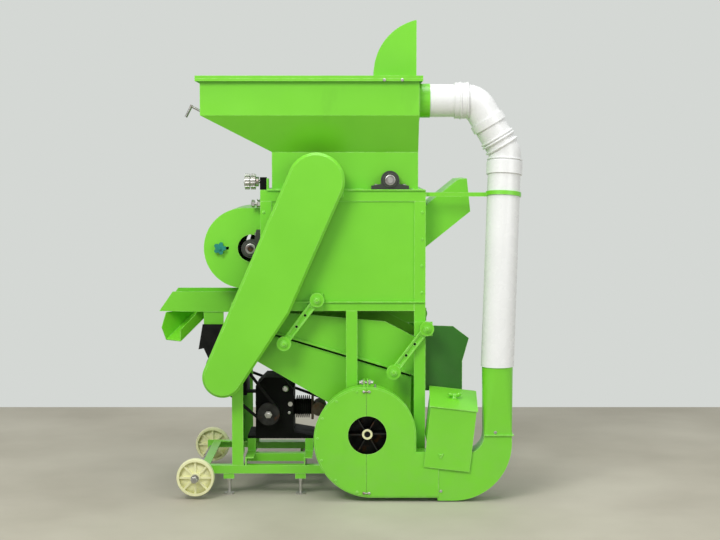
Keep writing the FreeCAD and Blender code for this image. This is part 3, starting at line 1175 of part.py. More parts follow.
def elbow_face(inset, extra):
    """The elbow's side outline: a level inlet, a wide outer bend and a tight inner one."""
    left = value("outlet_x") + value("seat_gap") - extra
    floor, top = value(FLOOR) - value("elbow_drop") + inset, value("elbow_top") + extra
    roof = value(f"{FLOOR} + outlet_height") - inset
    outer, inner = value("elbow_outer") - inset, value("elbow_inner") + inset
    right = value("duct_right") - inset
    duct = value("duct_right - duct_width") + inset
    diagonal = math.sqrt(0.5)
    ocx, ocz = right - outer, floor + outer
    icx, icz = duct - inner, roof + inner
    edges = [
        Part.LineSegment(vec(left, 0, floor), vec(ocx, 0, floor)).toShape(),
        Part.Arc(vec(ocx, 0, floor), vec(ocx + outer * diagonal, 0, ocz - outer * diagonal),
                 vec(right, 0, ocz)).toShape(),
        Part.LineSegment(vec(right, 0, ocz), vec(right, 0, top)).toShape(),
        Part.LineSegment(vec(right, 0, top), vec(duct, 0, top)).toShape(),
        Part.Arc(vec(duct, 0, icz), vec(icx + inner * diagonal, 0, icz - inner * diagonal),
                 vec(icx, 0, roof)).toShape(),
        Part.LineSegment(vec(icx, 0, roof), vec(left, 0, roof)).toShape(),
        Part.LineSegment(vec(left, 0, roof), vec(left, 0, floor)).toShape(),
    ]
    if abs(top - icz) > 0.01:
        edges.insert(4, Part.LineSegment(vec(duct, 0, top), vec(duct, 0, icz)).toShape())
    return Part.Face(Part.Wire(Part.__sortEdges__(edges)))


def make_ducts():
    front, back = value("blower_front"), value("blower_back")
    wall, gap = value("sheet_wall"), value("seat_gap")
    elbow = slab(elbow_face(0, 0), front, back).cut(slab(elbow_face(wall, 4), front + wall, back - wall))
    roof = value(f"{FLOOR} + outlet_height")
    drop = Part.makeBox(72, back - front - 12, 20, vec(value("outlet_x") + 12, front + 6, roof - 10))
    elbow = elbow.cut(drop)
    node("elbow_duct", feature("elbow_duct", elbow))

    depth, half = (back - front) / 2, value("duct_width") / 2
    low, high = value("elbow_top + seat_gap"), value("riser_top")
    round_end = value("pipe_radius - pipe_wall - spigot_gap")

    def blend(inset, low_z, high_z):
        """A square-to-round transition: rounded corners open out into the four big arcs."""
        corner = 4.0 - inset
        u, v = half - inset, depth - inset
        radius = round_end - inset
        turns = [math.radians(90 * k + s) for k in range(4) for s in (5, 85)]
        ring = [vec(radius * math.cos(t), radius * math.sin(t), high_z) for t in turns]
        middle = [vec(radius * math.cos(t), radius * math.sin(t), high_z)
                  for t in (math.radians(45 * k) for k in range(8))]
        lower, upper = [], []
        signs = ((1, 1), (-1, 1), (-1, -1), (1, -1))
        square = []
        for k, (su, sv) in enumerate(signs):
            a = vec(su * u, sv * (v - corner), low_z)
            b = vec(su * (u - corner), sv * v, low_z)
            square += [a, b] if k % 2 == 0 else [b, a]
        for k, (su, sv) in enumerate(signs):
            bulge = corner * (1 - math.sqrt(0.5))
            mid = vec(su * (u - bulge), sv * (v - bulge), low_z)
            a, b = square[2 * k], square[2 * k + 1]
            lower.append(Part.Arc(a, mid, b).toShape())
            lower.append(Part.LineSegment(b, square[(2 * k + 2) % 8]).toShape())
            upper.append(Part.Arc(ring[2 * k], middle[2 * k + 1], ring[2 * k + 1]).toShape())
            upper.append(Part.Arc(ring[2 * k + 1], middle[(2 * k + 2) % 8], ring[(2 * k + 2) % 8]).toShape())
        return Part.makeLoft([Part.Wire(lower), Part.Wire(upper)], True, True)

    tip = value("spigot_length")
    lip = value("duct_lip")
    top = vec(value("bend_two_x") - value("duct_right") + half, value("stub_y") - (front + back) / 2,
              value("bend_two_z"))
    lean = (top - vec(0, 0, value("riser_top + seat_gap"))).normalize()
    base = vec(0, 0, high) - lean * 9

    def spigot(radius, length):
        tube = Part.makeCylinder(radius, length, base, lean)
        return tube.cut(Part.makeBox(400, 400, 60, vec(-200, -200, high - 60.5)))

    riser = blend(0, low, high).fuse(spigot(round_end - 1.2, tip + 9))
    riser = riser.fuse(Part.makeBox(2 * half + lip, back - front + lip, 3, vec(-half, -depth - lip, low)))
    riser = riser.cut(blend(wall, low, high)).cut(spigot(round_end - wall - 1, tip + 12))
    thing = feature("riser_duct", riser)
    thing.Placement = FreeCAD.Placement(vec(value("duct_right") - half, (front + back) / 2, 0), FreeCAD.Rotation())
    node("riser_duct", thing)


def annulus(centre, direction, outer, inner):
    rims = [Part.Wire(Part.makeCircle(r, centre, direction)) for r in (outer, inner)]
    return Part.Face(rims, "Part::FaceMakerBullseye")


def tube(points, radius, outer, inner):
    """A hollow tube: straight runs joined by tangent bends of one radius."""
    pieces = []
    start = points[0]
    for i in range(1, len(points) - 1):
        corner = points[i]
        a = (points[i - 1] - corner).normalize()
        b = (points[i + 1] - corner).normalize()
        half = math.acos(a.dot(b)) / 2
        reach = radius / math.tan(half)
        bend_start = corner + a * reach
        pivot = corner + (a + b).normalize() * (radius / math.sin(half))
        pieces.append(annulus(start, a, outer, inner).extrude(bend_start - start))
        turn = 180 - math.degrees(2 * half)
        ring = annulus(bend_start, a, outer, inner)
        pieces.append(ring.revolve(pivot, a.cross(b) * -1, turn))
        start = corner + b * reach
    pieces.append(annulus(start, points[-1] - start, outer, inner).extrude(points[-1] - start))
    return pieces[0].multiFuse(pieces[1:])


def sleeve(start, end, outer, inner):
    """A straight hollow tube between two points."""
    run = end - start
    return Part.makeCylinder(outer, run.Length, start, run).cut(Part.makeCylinder(inner, run.Length, start, run))


def make_pipes():
    r, wall = value("pipe_radius"), value("pipe_wall")
    gap, thick, deep = value("spigot_gap"), value("socket_wall"), value("socket_length")
    y, z = value("stub_y"), value("stub_z")
    right = value("hopper_right")
    socket = r + gap

    stub = new_body("inlet_stub")
    bore = "pipe_radius - pipe_wall"
    pad(stub, "YZ", [("o", "stub_y", "stub_z", f"{bore} - spigot_gap"),
                     ("o", "stub_y", "stub_z", f"{bore} - spigot_gap - sheet_wall")],
        "hopper_right + seat_gap", "hopper_right + stub_length + 24")
    pad(stub, "YZ", [("o", "stub_y", "stub_z", "stub_radius"),
                     ("o", "stub_y", "stub_z", f"{bore} - spigot_gap - sheet_wall")],
        "hopper_right + seat_gap", "hopper_right + stub_length")
    pad(stub, "YZ", [("o", "stub_y", "stub_z", "stub_radius + 10"),
                     ("o", "stub_y", "stub_z", f"{bore} - spigot_gap - sheet_wall")],
        "hopper_right + seat_gap", "hopper_right + seat_gap + 3")
    node("inlet_stub", stub)

    start = right + value("stub_length") + gap
    corner_one = vec(value("bend_one_x"), y, z)
    corner_two = vec(value("bend_two_x"), y, value("bend_two_z"))
    foot = vec(value("duct_right - duct_width / 2"), value("(blower_front + blower_back) / 2"),
               value("riser_top + seat_gap"))
    x_one = start + value("inlet_pipe_length")
    inlet = feature("inlet_pipe", sleeve(vec(start, y, z), vec(x_one, y, z), r, r - wall))

    slant = (corner_two - corner_one).normalize()
    fall = (foot - corner_two).normalize()
    radius = value("bend_radius")
    joint = corner_one + slant * ((corner_two - corner_one).Length * 0.47)
    bend_start = vec(x_one + gap, y, z)
    upper = tube([bend_start, corner_one, joint], radius, r, r - wall)
    upper = upper.fuse(sleeve(vec(x_one + gap - deep, y, z), vec(x_one + gap + 2, y, z), socket + thick, socket))
    web = sleeve(vec(x_one + gap, y, z), vec(x_one + gap + 4, y, z), socket + thick, r - wall)
    upper_bend = feature("pipe_bend_upper", upper.fuse(web).removeSplitter())

    bend_low = joint + slant * gap
    ending = corner_two + fall * 42
    lower = tube([bend_low, corner_two, ending], radius, r, r - wall)
    lower = lower.fuse(sleeve(bend_low - slant * deep * 0.55, bend_low + slant * 2, socket + thick, socket))
    lower = lower.fuse(sleeve(bend_low, bend_low + slant * 4, socket + thick, r - wall))
    lower = lower.fuse(sleeve(ending - fall * 4, ending, socket + thick, r - wall))
    lower = lower.fuse(sleeve(ending - fall * 1, ending + fall * deep, socket + thick, socket))
    gather("pipe_bends", [upper_bend, feature("pipe_bend_lower", lower.removeSplitter())])

    riser = sleeve(ending + fall * gap, foot + fall * 20, r, r - wall)
    riser = riser.cut(Part.makeBox(400, 400, 60, foot + vec(-200, -200, -60)))
    gather("straight_pipes", [inlet, feature("riser_pipe", riser)])

    level = value("stay_z")
    share = (level - corner_two.z) / (foot.z - corner_two.z)
    middle = corner_two + (foot - corner_two) * share
    wide, flat = value("stay_width") / 2, value("stay_wall")
    hug = r + gap
    band = Part.makeCylinder(hug + flat, 2 * wide, middle - fall * -wide - fall * 2 * wide, fall)
    band = band.cut(Part.makeCylinder(hug, 2 * wide + 4, middle - fall * (wide + 2), fall))
    reach = value("frame_right") + value("seat_gap")
    bar_y = value("-frame_half + angle_leg / 2")
    bar = Part.makeBox(middle.x - reach - hug + 3, flat, 2 * wide, vec(reach, bar_y - flat / 2, middle.z - wide))
    keep = Part.makeCylinder(hug, 200, middle - fall * 100, fall)
    stay = band.fuse(bar.cut(keep))
    plate = Part.makeBox(flat, 30, 2 * wide, vec(reach, bar_y - 15, middle.z - wide))
    node("pipe_stay", feature("pipe_stay", stay.fuse(plate).removeSplitter()))


def make_feeder():
    """A leaning feed box with a sloping lid, open below into the duct and behind to the chute."""
    box = new_body("feeder_box")
    wall, deep, high, rise = "sheet_wall", "feeder_depth", "feeder_height", "feeder_rise"
    outline = [("0", "0"), (wall, "0"), (wall, "feeder_cut"), (deep, "feeder_cut"), (deep, f"{high} + {rise}"), ("0", high)]
    pad(box, "YZ", [outline], "0", "feeder_width")
    hollow = [(wall, "feeder_cut - 1"), (f"{deep} - {wall}", "feeder_cut - 1"),
              (f"{deep} - {wall}", f"{high} + {rise} + 10"), (wall, f"{high} + 10")]
    pad(box, "YZ", [hollow], wall, f"feeder_width - {wall}", cut=True)
    window = rectangle(f"{wall} + 14", f"feeder_width - {wall} - 14", "feeder_cut + 30", f"{high} + {rise} - 28")
    pad(box, "XZ", [window], f"{deep} - {wall} - 2", f"{deep} + 2", cut=True)
    hinge_y, hinge_z = f"{deep} + lid_knuckle + seat_gap", f"{high} + {rise} - lid_knuckle / 2"
    knuckle = ("o", hinge_y, hinge_z, "lid_knuckle")
    strap = rectangle(f"{deep} - 1", hinge_y, f"{hinge_z} - lid_knuckle", f"{hinge_z} - lid_pin")
    for x0, x1 in (("0", "lid_leaf"), ("feeder_width - lid_leaf", "feeder_width")):
        pad(box, "YZ", [knuckle], x0, x1)
        pad(box, "YZ", [strap], x0, x1)
    pad(box, "YZ", [("o", hinge_y, hinge_z, "lid_pin")], "1", "feeder_width - 1")
    node("feeder_box", place(box, "feeder_x", "feeder_front", "feeder_z", (0, 1, 0), "feeder_lean"))
    lid = new_body("feeder_lid")
    lift = f"{high} + seat_gap"
    over = "lid_overhang"
    tilt = f"{rise} / {deep}"
    loop = [(f"-{over}", f"{lift} - {over} * {tilt}"), (deep, f"{lift} + {rise}"),
            (deep, f"{lift} + {rise} + lid_wall"), (f"-{over}", f"{lift} - {over} * {tilt} + lid_wall")]
    pad(lid, "YZ", [loop], f"-{over}", f"feeder_width + {over}")
    x0, x1 = "lid_leaf + seat_gap", "feeder_width - lid_leaf - seat_gap"
    pad(lid, "YZ", [knuckle], x0, x1)
    leaf = [(f"{deep} - 2", f"{lift} + {rise}"), (f"{deep} - 2", f"{lift} + {rise} + lid_wall"),
            (hinge_y, f"{hinge_z} + lid_knuckle"), (hinge_y, f"{hinge_z} + lid_pin + 0.5")]
    pad(lid, "YZ", [leaf], x0, x1)
    pad(lid, "YZ", [("o", hinge_y, hinge_z, "lid_pin + running_gap")], "lid_leaf", "feeder_width - lid_leaf", cut=True)
    node("feeder_lid", place(lid, "feeder_x", "feeder_front", "feeder_z", (0, 1, 0), "feeder_lean"))


# Engine and drum adjuster

def make_engine():
    block = new_body("engine_block")
    foot = f"{BASE_TOP} + rail_height + engine_lift"
    crown = f"{foot} + case_height"
    pad(block, "XZ", [[("case_left", f"{foot} + 10"), ("engine_bed_left", f"{foot} + 10"),
                       ("engine_bed_left", foot), ("engine_bed_right + rail_height", foot),
                       ("engine_bed_right + rail_height", f"{foot} + 10"), ("case_right", f"{foot} + 22"),
                       ("case_right", f"{crown} - 40"), ("case_right - 36", crown),
                       ("case_left + 30", crown), ("case_left", f"{crown} - 30")]], "case_front", "case_back")
    pad(block, "XZ", [("o", "crank_x", "crank_z", "case_height * 0.2")], "case_front - 8", "case_front + 2")
    fin = "(case_back + case_front) / 2"
    core = ("o", fin, "crank_z + 6", "barrel_radius - fin_depth")
    pad(block, "YZ", [core], "case_right - 2", "case_right + barrel_length")
    for i in range(int(value("fin_count"))):
        x = f"case_right + 8 + {i} * (barrel_length - 10) / fin_count"
        pad(block, "YZ", [rectangle(f"{fin} - barrel_radius", f"{fin} + barrel_radius",
                                    "crank_z + 6 - barrel_radius", "crank_z + 6 + barrel_radius")],
            x, f"{x} + fin_wall")
    starter = new_body("engine_starter")
    y = "case_back + seat_gap"
    pad(starter, "XZ", [("o", "crank_x", "crank_z + 4", "starter_radius")], y, f"{y} + starter_depth * 0.6")
    pad(starter, "XZ", [("o", "crank_x", "crank_z + 4", "starter_radius * 0.72")], f"{y} + 2", f"{y} + starter_depth")
    gather("engine_block", [block, starter])
    tank = new_body("fuel_tank")
    low = "tank_bottom"
    pad(tank, "XY", [rectangle("tank_left", "tank_left + tank_width", "-tank_half", "tank_half")],
        low, f"{low} + tank_height")
    pad(tank, "XY", [("o", "tank_left + tank_width / 2", "30", "20")], f"{low} + tank_height - 2",
        f"{low} + tank_height + 14")
    pad(tank, "XY", [rectangle("tank_left + tank_width - 20", "case_left - seat_gap", "-30", "30")], low, f"{low} + 4")
    node("fuel_tank", tank)
    muffler = new_body("engine_muffler")
    x = "case_right + barrel_length + seat_gap"
    pad(muffler, "YZ", [rectangle("-50", "-6", "crank_z - 36", "crank_z + 44")], x, f"{x} + 8")
    pad(muffler, "XZ", [("o", f"{x} + 8 + muffler_radius - 5", "crank_z + 4", "muffler_radius")],
        "-28 - muffler_length / 2", "-28 + muffler_length / 2")
    node("engine_muffler", muffler)


def make_adjuster():
    block = new_body("adjuster_block")
    edge = "frame_left"
    pad(block, "XY", [rectangle(f"{edge} - 5", f"{edge} - 5 + adjuster_block_depth",
                                "adjuster_y - adjuster_block / 2", "adjuster_y + adjuster_block / 2")],
        "frame_top", "adjuster_z + adjuster_block / 2")
    pad(block, "YZ", [("o", "adjuster_y", "adjuster_z", "adjuster_screw + running_gap")],
        f"{edge} - 8", f"{edge} + adjuster_block_depth + 4", cut=True)
    node("adjuster_block", block)
    wheel = new_body("adjuster_wheel")
    pad(wheel, "YZ", [("o", "0", "0", "adjuster_screw")], "-adjuster_reach", "adjuster_block_depth - 2")
    for start in ("-adjuster_reach + 4", "-adjuster_reach + 8 + adjuster_disc"):
        pad(wheel, "YZ", [("o", "0", "0", "adjuster_radius")], start, f"{start} + adjuster_disc")
    pad(wheel, "YZ", [("o", "0", "0", "adjuster_radius * 0.6")], "-adjuster_reach + 2",
        "-adjuster_reach + 18 + 2 * adjuster_disc")
    notch = pad(wheel, "YZ", [("o", "adjuster_radius + 1", "0", "5")], "-adjuster_reach - 1",
                "-adjuster_reach + 10 + 2 * adjuster_disc", cut=True)
    pattern(wheel, [notch], "12", "X_Axis")
    node("adjuster_wheel", place(wheel, "frame_left + 2", "adjuster_y", "adjuster_z"))


for make in (make_frame, make_feet, make_wheels, make_panels, make_hopper, make_hood, make_gate,
             make_bearings, make_drums, make_drive, make_guard, make_winnow, make_outlets, make_return, make_arms,
             make_sieve, make_spout, make_rod, make_blower, make_fans, make_wind_box, make_ducts,
             make_pipes, make_feeder, make_engine, make_adjuster):
    make()
doc.recompute()

for thing in doc.Objects:
    if "Invalid" in thing.State or "Error" in thing.State:
        raise ValueError(f"{thing.Label} did not rebuild: {thing.State}")
for name, thing in NODES.items():
    if thing.Shape.isNull() or not thing.Shape.isValid():
        raise ValueError(f"{name} has no sound shape")

os.makedirs("parts", exist_ok=True)
for name, thing in NODES.items():
    thing.Shape.exportStep(f"parts/{name}.step")
print(len(NODES), "nodes written")
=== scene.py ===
import json
import math
import random

import bmesh
import bpy
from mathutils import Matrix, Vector


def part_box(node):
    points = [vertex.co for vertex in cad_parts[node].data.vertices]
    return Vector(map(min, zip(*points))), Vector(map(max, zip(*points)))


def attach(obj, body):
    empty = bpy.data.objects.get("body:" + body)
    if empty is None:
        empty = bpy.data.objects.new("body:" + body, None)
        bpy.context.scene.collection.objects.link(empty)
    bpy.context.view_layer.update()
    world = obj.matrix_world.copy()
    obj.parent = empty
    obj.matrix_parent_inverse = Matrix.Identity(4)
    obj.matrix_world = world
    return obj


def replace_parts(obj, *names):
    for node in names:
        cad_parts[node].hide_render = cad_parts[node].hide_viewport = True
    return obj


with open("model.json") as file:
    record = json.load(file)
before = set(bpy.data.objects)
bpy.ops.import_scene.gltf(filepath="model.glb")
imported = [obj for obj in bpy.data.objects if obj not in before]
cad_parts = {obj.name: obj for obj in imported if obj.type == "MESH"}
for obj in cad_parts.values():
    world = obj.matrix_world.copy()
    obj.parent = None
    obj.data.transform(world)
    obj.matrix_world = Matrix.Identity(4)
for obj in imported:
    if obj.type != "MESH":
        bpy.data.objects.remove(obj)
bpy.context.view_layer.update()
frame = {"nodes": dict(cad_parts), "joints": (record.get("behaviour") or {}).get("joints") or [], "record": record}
random.seed(7)
MM = 0.001
FRAME_BODY = "machine_frame"


# Materials

DUST = (0.36, 0.34, 0.27)
RUST = (0.16, 0.065, 0.025)
FACTOR_IN, FIRST_IN, SECOND_IN, COLOUR_OUT = 0, 6, 7, 2


def new_material(name):
    """An empty node material, and its shader linked to the output."""
    mat = bpy.data.materials.new(name)
    mat.use_nodes = True
    tree = mat.node_tree
    tree.nodes.clear()
    out = tree.nodes.new("ShaderNodeOutputMaterial")
    shader = tree.nodes.new("ShaderNodeBsdfPrincipled")
    tree.links.new(shader.outputs[0], out.inputs[0])
    return mat, tree, shader


def noise(tree, scale, detail=4, stretch=(1, 1, 1)):
    """Noise in object coordinates, in units of one metre."""
    coords = tree.nodes.new("ShaderNodeTexCoord")
    mapping = tree.nodes.new("ShaderNodeMapping")
    mapping.inputs["Scale"].default_value = stretch
    field = tree.nodes.new("ShaderNodeTexNoise")
    field.inputs["Scale"].default_value = scale
    field.inputs["Detail"].default_value = detail
    tree.links.new(coords.outputs["Object"], mapping.inputs["Vector"])
    tree.links.new(mapping.outputs["Vector"], field.inputs["Vector"])
    return field.outputs["Fac"]


def ramp(tree, source, stops):
    """A colour ramp from (position, colour) pairs."""
    node = tree.nodes.new("ShaderNodeValToRGB")
    elements = node.color_ramp.elements
    while len(elements) < len(stops):
        elements.new(0.5)
    for element, (position, colour) in zip(elements, stops):
        element.position = position
        element.color = (*colour, 1)
    tree.links.new(source, node.inputs[0])
    return node.outputs[0]


def grey(level):
    """A colour without hue, also used as a mask's level."""
    return (level, level, level)


def mix(tree, factor, first, second, kind="MIX"):
    """The second colour laid over the first; each item is a socket, a colour or a number."""
    node = tree.nodes.new("ShaderNodeMix")
    node.data_type = "RGBA"
    node.blend_type = kind
    for index, item in ((FACTOR_IN, factor), (FIRST_IN, first), (SECOND_IN, second)):
        socket = node.inputs[index]
        if isinstance(item, (tuple, float, int)):
            socket.default_value = (*item, 1) if isinstance(item, tuple) else item
        else:
            tree.links.new(item, socket)
    return node.outputs[COLOUR_OUT]


def product(tree, first, second):
    """One mask held back by another."""
    return mix(tree, 1.0, first, second, "MULTIPLY")


def bump(tree, shader, source, strength, distance):
    """Relief from a height field; the distance is in metres."""
    node = tree.nodes.new("ShaderNodeBump")
    node.inputs["Strength"].default_value = strength
    node.inputs["Distance"].default_value = distance
    tree.links.new(source, node.inputs["Height"])
    tree.links.new(node.outputs[0], shader.inputs["Normal"])


def painted_edge_highlight(tree, radius=0.0036):
    """Painted highlight mask: white along sharp edges, where a rounded normal departs from the flat one, broken up
    by noise.
    """
    geometry = tree.nodes.new("ShaderNodeNewGeometry")
    rounded = tree.nodes.new("ShaderNodeBevel")
    rounded.samples = 4
    rounded.inputs["Radius"].default_value = radius
    dot = tree.nodes.new("ShaderNodeVectorMath")
    dot.operation = "DOT_PRODUCT"
    tree.links.new(rounded.outputs[0], dot.inputs[0])
    tree.links.new(geometry.outputs["Normal"], dot.inputs[1])
    edge = ramp(tree, dot.outputs["Value"], [(0.86, grey(1)), (0.985, grey(0))])
    patches = ramp(tree, noise(tree, 45, 5), [(0.36, grey(0.12)), (0.62, grey(1))])
    return product(tree, edge, patches)


def scuffs(tree):
    """Grey in sparse long patches, as from handling."""
    streaks = ramp(tree, noise(tree, 9, 8, (1, 1, 0.35)), [(0.66, grey(0)), (0.76, grey(1))])
    return product(tree, streaks, grey(0.35))


def floor_dust(tree, top=0.5):
    """White near the floor, fading out towards the top height in metres, broken up by noise."""
    coords = tree.nodes.new("ShaderNodeTexCoord")
    split = tree.nodes.new("ShaderNodeSeparateXYZ")
    tree.links.new(coords.outputs["Object"], split.inputs[0])
    height = ramp(tree, split.outputs["Z"], [(0.0, grey(1)), (top, grey(0))])
    patches = ramp(tree, noise(tree, 22, 6), [(0.35, grey(0.15)), (0.7, grey(1))])
    return product(tree, height, patches)


def enamel(name, colour, shade, rim, rough=0.36, dust=0.10, coat=0.18):
    """Glossy sprayed paint: faint mottling, scuffs, orange peel, dust low down and a painted highlight along thin
    edges.
    """
    mat, tree, shader = new_material(name)
    base = ramp(tree, noise(tree, 3.2, 3), [(0.3, shade), (0.7, colour)])
    weight = product(tree, floor_dust(tree), grey(dust))
    base = mix(tree, weight, base, DUST)
    base = mix(tree, scuffs(tree), base, tuple(0.8 * c for c in shade))
    # painted highlight: sharp edges take the lighter rim colour
    base = mix(tree, painted_edge_highlight(tree), base, rim)
    tree.links.new(base, shader.inputs["Base Color"])
    gloss = ramp(tree, noise(tree, 14, 5), [(0.3, grey(rough - 0.06)), (0.75, grey(rough + 0.12))])
    tree.links.new(gloss, shader.inputs["Roughness"])
    bump(tree, shader, noise(tree, 420, 2), 0.10, 0.0006)
    shader.inputs["Coat Weight"].default_value = coat
    shader.inputs["Coat Roughness"].default_value = 0.18
    return mat


def metal(name, colour, dark, rough=0.38, grain=(1, 14, 1), rust=0.0):
    """Bare metal with a drawn grain, dull patches and, where asked, rust."""
    mat, tree, shader = new_material(name)
    shader.inputs["Metallic"].default_value = 1.0
    base = ramp(tree, noise(tree, 38, 6, grain), [(0.28, dark), (0.72, colour)])
    if rust:
        spots = ramp(tree, noise(tree, 34, 7), [(0.62 - rust * 0.2, grey(0)), (0.74, grey(1))])
        base = mix(tree, spots, base, RUST)
    tree.links.new(base, shader.inputs["Base Color"])
    gloss = ramp(tree, noise(tree, 26, 5, grain), [(0.25, grey(rough - 0.1)), (0.8, grey(rough + 0.2))])
    tree.links.new(gloss, shader.inputs["Roughness"])
    bump(tree, shader, noise(tree, 260, 4, grain), 0.12, 0.0005)
    return mat


def plastic(name, colour, shade, rough=0.3, grain=300, depth=0.0004):
    """Moulded plastic with soft mottling, patchy gloss and a fine skin."""
    mat, tree, shader = new_material(name)
    base = ramp(tree, noise(tree, 9, 4), [(0.3, shade), (0.7, colour)])
    tree.links.new(base, shader.inputs["Base Color"])
    gloss = ramp(tree, noise(tree, 30, 4), [(0.3, grey(rough)), (0.75, grey(rough + 0.15))])
    tree.links.new(gloss, shader.inputs["Roughness"])
    bump(tree, shader, noise(tree, grain, 3), 0.15, depth)
    return mat


def rubber(name):
    """Matt black rubber, darkened below real rubber as painted shade, a little dusty."""
    mat, tree, shader = new_material(name)
    # painted shade: near-black colour, darker than real rubber
    base = ramp(tree, noise(tree, 40, 6), [(0.3, (0.004, 0.004, 0.004)), (0.75, (0.016, 0.015, 0.014))])
    tree.links.new(base, shader.inputs["Base Color"])
    shader.inputs["Roughness"].default_value = 0.85
    shader.inputs["Specular IOR Level"].default_value = 0.25
    bump(tree, shader, noise(tree, 500, 3), 0.3, 0.0006)
    return mat


def shaded_black_paint(name, colour, shade):
    """Black oily engine paint, darker than real paint as painted shade, with a painted highlight along its edges;
    nearly without gloss.
    """
    mat, tree, shader = new_material(name)
    base = ramp(tree, noise(tree, 24, 6), [(0.3, shade), (0.7, colour)])
    # painted highlight: edges five times lighter than the paint
    base = mix(tree, painted_edge_highlight(tree, 0.002), base, tuple(5 * c for c in colour))
    tree.links.new(base, shader.inputs["Base Color"])
    gloss = ramp(tree, noise(tree, 18, 5), [(0.3, grey(0.55)), (0.75, grey(0.8))])
    tree.links.new(gloss, shader.inputs["Roughness"])
    shader.inputs["Specular IOR Level"].default_value = 0.12
    bump(tree, shader, noise(tree, 160, 4), 0.25, 0.0008)
    return mat


GREEN = (0.205, 0.700, 0.030)
GREEN_SHADE = (0.178, 0.630, 0.024)
# lighter green painted along edges as a highlight
GREEN_EDGE_HIGHLIGHT = (0.46, 0.88, 0.24)
MATS = {
    "green_paint": enamel("green_enamel", GREEN, GREEN_SHADE, GREEN_EDGE_HIGHLIGHT),
    "bare_steel": metal("bare_steel", (0.52, 0.51, 0.49), (0.30, 0.29, 0.28), rust=0.5),
    "cast_pulley": metal("turned_iron", (0.22, 0.22, 0.23), (0.12, 0.12, 0.12), 0.45, rust=0.3),
    # the bearings' third colour is a painted edge highlight
    "bearing_iron": enamel("bearing_enamel", (0.030, 0.036, 0.026), (0.018, 0.022, 0.015),
                           (0.12, 0.13, 0.10), 0.5, 0.3),
    "white_pvc": plastic("white_pipe", (0.86, 0.865, 0.85), (0.82, 0.825, 0.81), 0.2, 60, 0.0003),
    "cream_wheel": plastic("cream_nylon", (0.88, 0.88, 0.52), (0.80, 0.80, 0.46), 0.45),
    "belt_rubber": rubber("belt_rubber"),
    "zinc_steel": metal("zinc_steel", (0.66, 0.65, 0.62), (0.40, 0.39, 0.37), 0.42, rust=0.2),
    "teal_plastic": plastic("teal_knob", (0.01, 0.27, 0.20), (0.008, 0.19, 0.14), 0.42),
    # engine and black paint are darker than real black paint: painted shade
    "engine_alloy": shaded_black_paint("engine_black", (0.0050, 0.0050, 0.0045), (0.0018, 0.0018, 0.0016)),
    "black_paint": shaded_black_paint("black_enamel", (0.0060, 0.0060, 0.0056), (0.0024, 0.0024, 0.0022)),
    "muffler_steel": metal("heated_steel", (0.20, 0.15, 0.12), (0.09, 0.07, 0.06), 0.6, rust=0.6),
}
slot_of = {part["node"]: part["material_slot"] for part in frame["record"]["subparts"]}
for name, thing in frame["nodes"].items():
    material = MATS[slot_of[name]]
    for slot in thing.material_slots:
        slot.material = material
    if not thing.material_slots:
        thing.data.materials.append(material)


def repaint(node, material):
    """Gives one node a material other than its slot's usual one."""
    for slot in frame["nodes"][node].material_slots:
        slot.material = material


# Painted shade: the fans, the blower's impeller and the engine's pulley sit in shade, so their steel is made near
# black, with some rust.
SHADE_DARK_STEEL = metal("shaded_steel", (0.06, 0.06, 0.058), (0.022, 0.022, 0.020), 0.55, rust=0.3)
# Painted shade: the return chute is dark green for the shade inside it, and has more dust low down
DUSTY_SHADED_GREEN = enamel("chute_enamel", (0.040, 0.24, 0.010), (0.018, 0.13, 0.005), GREEN_EDGE_HIGHLIGHT, 0.5, 0.22)
for name in ("blower_impeller", "winnow_fan", "sieve_fan", "engine_pulley"):
    repaint(name, SHADE_DARK_STEEL)
repaint("return_chute", DUSTY_SHADED_GREEN)


# Tools for the small pieces that the solids leave out; their lengths are in millimetres

NEAR, FAR, LEFT, RIGHT, UP = (0, -1, 0), (0, 1, 0), (-1, 0, 0), (1, 0, 0), (0, 0, 1)
AT = {j["name"]: Vector(j.get("pos_m") or (0, 0, 0)) / MM for j in frame["joints"]}
SINK = 0.4
WASHER_RADIUS = 0.98
WASHER_HEIGHT = 0.14
HEAD_PROFILE = [(0.80, 0), (0.80, 0.42), (0.66, 0.52)]
BROKEN_EDGE = 0.5
MERGE_DISTANCE = 1e-6
WELD_RIPPLE = 3.2
WELD_LOW, WELD_SPREAD, WELD_END = 0.84, 0.22, 0.55


def box_mm(node):
    """Two corners of a node's box."""
    low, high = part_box(node)
    return Vector(low) / MM, Vector(high) / MM


def piece(name, bm, slot_name, body=FRAME_BODY, smooth=False):
    """Turns mesh code into a piece that rides on a body and has a record's slot."""
    mesh = bpy.data.meshes.new(name)
    bmesh.ops.remove_doubles(bm, verts=bm.verts, dist=MERGE_DISTANCE)
    bmesh.ops.recalc_face_normals(bm, faces=bm.faces)
    bm.to_mesh(mesh)
    bm.free()
    thing = bpy.data.objects.new(name, mesh)
    bpy.context.scene.collection.objects.link(thing)
    thing.data.materials.append(MATS[slot_name])
    for face in mesh.polygons:
        face.use_smooth = smooth
    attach(thing, body)
    return thing


def lathe(bm, profile, centre, axis, sides=24):
    """Adds a closed turned form: profile is (radius, along) pairs."""
    turn = Vector(UP).rotation_difference(Vector(axis).normalized()).to_matrix()
    centre = Vector(centre) * MM
    rings = []
    for radius, along in profile:
        ring = []
        for i in range(sides):
            a = 2 * math.pi * i / sides
            spot = Vector((radius * math.cos(a), radius * math.sin(a), along)) * MM
            ring.append(bm.verts.new(centre + turn @ spot))
        rings.append(ring)
    for low, high in zip(rings, rings[1:]):
        for i in range(sides):
            j = (i + 1) % sides
            bm.faces.new((low[i], low[j], high[j], high[i]))
    bm.faces.new(rings[0][::-1])
    bm.faces.new(rings[-1])


